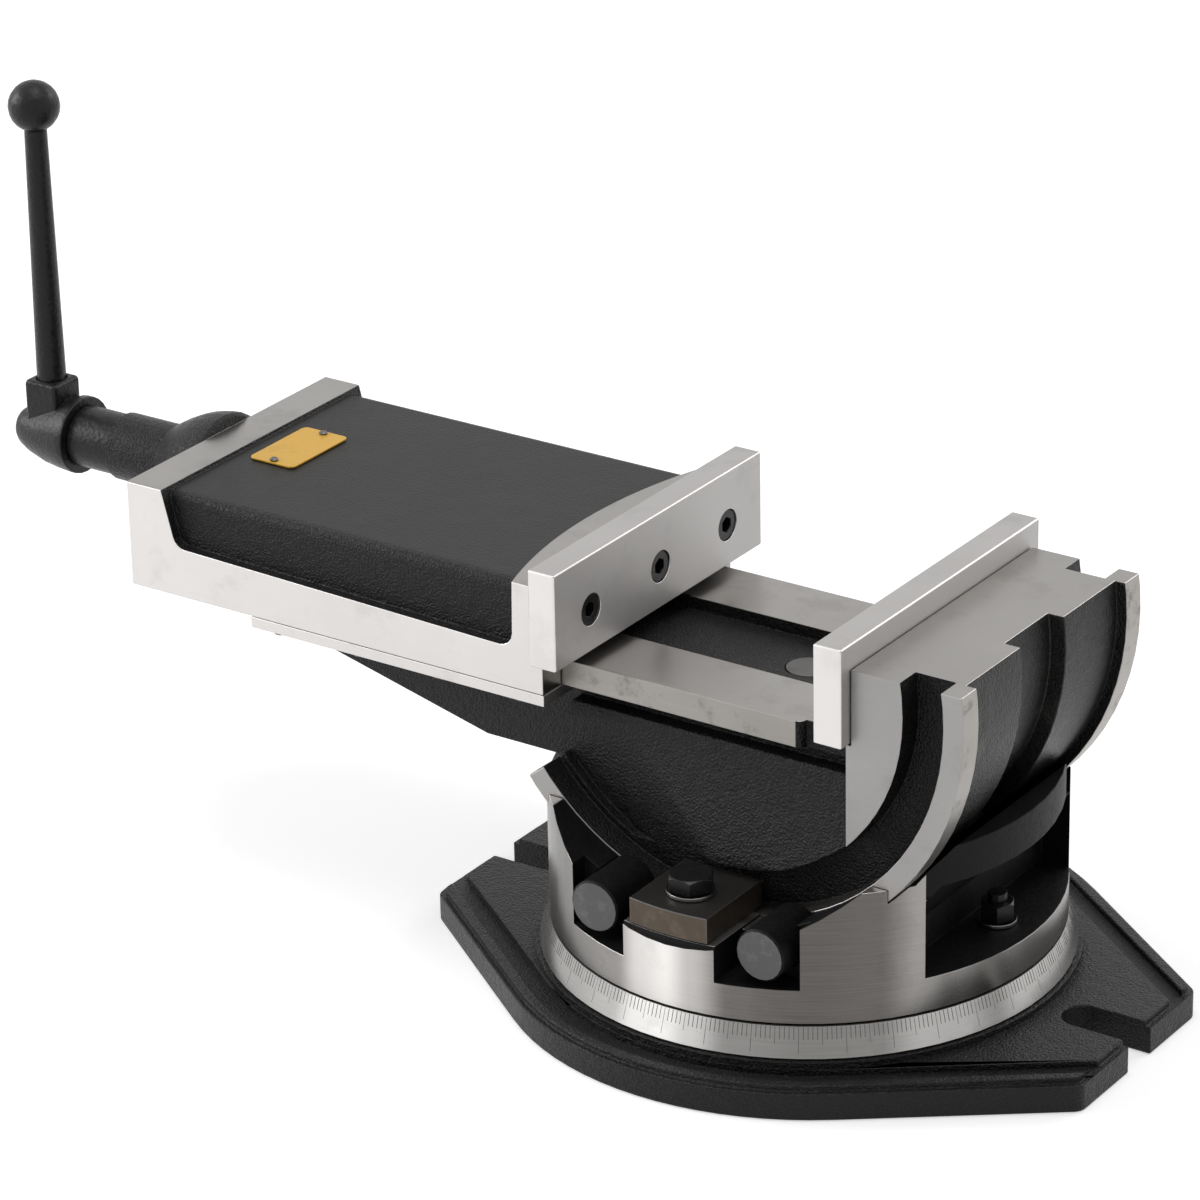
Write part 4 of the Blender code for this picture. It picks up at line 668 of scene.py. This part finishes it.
def swivelFace(place, facing):
    if place.y > 0 and place.x > swivelBody["paintFrom"] and place.z > swivelBody["pocketFloor"]:
        return "blackPocketPaint"
    # the turned wall, banded with painted reflection
    if math.hypot(place.x, place.y) > swivelBody["outside"] and abs(facing.z) < swivelBody["upright"]:
        return "turnedIron"
    level = facing.z > swivelBody["level"]
    if level and abs(place.z - swivelBody["padTop"]) < swivelBody["room"]:
        return "wornIron"
    if level and abs(place.z - swivelBody["wallTop"]) < swivelBody["room"]:
        return "milledIron"
    return "blackPocketPaint"


def pinFace(place, facing):  # bright only on its end
    return "pinSteel" if abs(facing.y) > clampFaces["end"] else "blackPocketPaint"


def clampFace(place, facing):
    return "clampTop" if facing.z > clampFaces["top"] else "clampSteel"


def washerFace(place, facing):
    return "blackOxide" if facing.z > clampFaces["top"] else "platedSteel"


dress("swivel_body", "swivelBody", "swivel",
      ["turnedIron", "milledIron", "wornIron", "blackPocketPaint"], swivelFace,
      edge=eased["swivel"])
for side in ("near", "far"):
    for end in ("left", "right"):
        dress(f"guide_pin_{side}_{end}", f"guidePin_{side}_{end}", "swivel",
              ["pinSteel", "blackPocketPaint"], pinFace, edge=eased["pin"])
    dress(f"clamp_plate_{side}", f"clampPlate_{side}", "swivel",
          ["clampSteel", "clampTop", "plugSteel"], clampFace, edge=eased["clamp"],
          edgeSkin="plugSteel")
    dress(f"clamp_washer_{side}", f"clampWasher_{side}", "swivel",
          ["blackOxide", "platedSteel"], washerFace, edge=eased["washer"])
    dress(f"clamp_bolt_{side}", f"clampBolt_{side}", "swivel", ["blackOxide"],
          edge=eased["clampBolt"])
for end in ("left", "right"):
    for part, name in (("bolt", "swivelBolt"), ("nut", "swivelNut")):
        dress(f"lock_{part}_{end}", f"{name}_{end}", "swivel", ["blackOxide"],
              edge=eased["swivelNut"])
    dress(f"lock_washer_{end}", f"swivelWasher_{end}", "swivel",
          ["blackOxide", "platedSteel"], washerFace, edge=eased["washer"])
print("swivel body done")


# Bed, drum and fixed jaw in one casting
bedFaces = {"waysTop": 140, "jawTop": 175, "sideAt": 68.5, "lipRadius": 112, "flangeSide": 55.3,
            "flangeFoot": 128, "axisAt": 160, "lipRoot": 57, "lipInside": 101, "rightSide": 50,
            "lipEdge": 111.2, "flat": 0.99, "topRoom": 0.4, "room": 0.3, "inward": -0.9, "endOn": 0.1}


def bedFace(place, facing):
    around = math.hypot(place.x, place.z - bedFaces["axisAt"])
    outward = (facing.x * place.x + facing.z * (place.z - bedFaces["axisAt"])) / max(around, 1)
    inGroove = bedFaces["lipRoot"] < abs(place.y) < bedFaces["sideAt"]
    sideways = abs(facing.y) > bedFaces["flat"]
    fromTops = min(abs(place.z - bedFaces["waysTop"]), abs(place.z - bedFaces["jawTop"]))
    # tops of the ways and the fixed jaw: painted shade, a darker copy of the milled iron
    if facing.z > bedFaces["flat"] and fromTops < bedFaces["topRoom"]:
        return "oiledWays"
    # the drum's side faces: painted shade, a darker copy of the milled iron
    if sideways and abs(abs(place.y) - bedFaces["sideAt"]) < bedFaces["room"]:
        return "drumIron"
    if sideways and abs(abs(place.y) - bedFaces["flangeSide"]) < bedFaces["room"]:
        return "wayEdge" if place.z > bedFaces["flangeFoot"] else "blackCastPaint"
    if inGroove and outward < bedFaces["inward"] and around > bedFaces["lipInside"] and place.x > 0:
        return "grooveSheen"
    onLip = abs(place.y) > bedFaces["lipRoot"] and around > bedFaces["lipEdge"]
    if onLip and abs(facing.y) < bedFaces["endOn"]:
        return "wornIron"
    # right end of the drum: lighter black, partly smudges and partly painted sheen
    return "drumPaint" if place.x > bedFaces["rightSide"] and not inGroove else "blackCastPaint"


dress("vise_bed", "viseBed", "bed",
      ["blackCastPaint", "oiledWays", "drumIron", "wornIron", "wayEdge", "grooveSheen", "drumPaint"],
      bedFace, edge=eased["bed"])
dress("channel_plug", "channelPlug", "bed", ["plugSteel"],
      edge=eased["plug"])


# Jaw plates: ground steel, bright on the ends; the other faces get darker copies of it, painted shade
plateFaces = {"front": 0.9, "edge": 0.7}


def plateFace(place, facing):
    # faces towards +X and the tops: painted shade, darker copies of the ground steel
    if facing.x > plateFaces["front"]:
        return "plateFront"
    return "groundSteel" if abs(facing.y) > plateFaces["edge"] else "dullSteel"


dress("fixed_jaw_plate", "fixedJawPlate", "bed",
      ["groundSteel", "dullSteel", "plateFront"],
      plateFace, edge=eased["jawPlate"])
dress("moving_jaw_plate", "movingJawPlate", "jaw",
      ["groundSteel", "dullSteel", "plateFront"],
      plateFace, edge=eased["jawPlate"])
for i in (1, 2, 3):
    dress(f"fixed_plate_screw_{i}", f"fixedPlateScrew_{i}", "bed", ["blackOxide"],
          edge=eased["plateScrew"])
    dress(f"moving_plate_screw_{i}", f"movingPlateScrew_{i}", "jaw", ["blackOxide"],
          edge=eased["plateScrew"])
print("bed and plates done")


# Moving jaw: machined frame round painted hollows
jawFaces = {"sideAt": 68.5, "top": 175, "blackTop": 173.2, "front": -80.8, "bottom": 128.7,
            "flat": 0.99, "room": 0.2, "frontRoom": 3, "footRoom": 0.3}


def jawFace(place, facing):
    flat = jawFaces["flat"]
    if abs(facing.y) > flat and abs(abs(place.y) - jawFaces["sideAt"]) < jawFaces["room"]:
        return "milledIron"
    # the top land and the front: painted shade, a darker copy of the milled iron
    if facing.z > flat and abs(place.z - jawFaces["top"]) < jawFaces["room"]:
        return "oiledWays"
    if facing.z > flat and abs(place.z - jawFaces["blackTop"]) < jawFaces["room"]:
        return "blackTopPaint"
    if facing.x > flat and place.x > jawFaces["front"] - jawFaces["frontRoom"]:
        return "oiledWays"
    if facing.z < -flat and place.z < jawFaces["bottom"] + jawFaces["footRoom"]:
        return "milledIron"
    return "blackCastPaint"


dress("moving_jaw", "movingJaw", "jaw",
      ["blackCastPaint", "blackTopPaint", "oiledWays", "milledIron"], jawFace,
      edge=eased["jaw"])
for side in ("near", "far"):
    dress(f"keep_plate_{side}", f"keepPlate_{side}", "jaw", ["milledIron"],
          edge=eased["keepPlate"])
    for i in (1, 2, 3, 4):
        dress(f"keep_screw_{side}_{i}", f"keepScrew_{side}_{i}", "jaw",
              ["blackOxide"], edge=eased["keepScrew"])
    dress(f"rivet_{side}", f"rivet_{side}", "jaw", ["plugSteel"],
          edge=eased["rivet"])
dress("name_plate", "barePlate", "jaw", ["brassPlate"],
      edge=eased["namePlate"])
print("moving jaw done")


# Screw and crank
for node, name in (("crank_hub", "crankHub"), ("crank_lever", "crankLever"),
                   ("thrust_collar", "thrustCollar")):
    dress(node, name, "crank", ["handleBlack"], edge=eased["handle"])
dress("lever_ball", "leverBall", "crank", ["handleBlack"],
      edge=eased["ball"], smooth=60)
dress("hub_pin", "hubPin", "crank", ["blackOxide"], edge=eased["hubPin"])
for node, look in (("lead_screw", "platedSteel"), ("retaining_collar", "blackOxide"),
                   ("screw_nut", "brassPlate"), ("nut_screw_near", "blackOxide"),
                   ("nut_screw_far", "blackOxide"), ("swivel_pivot", "pinSteel")):
    nodes[node].data.materials.clear()
    nodes[node].data.materials.append(skins[look])
print("crank done")
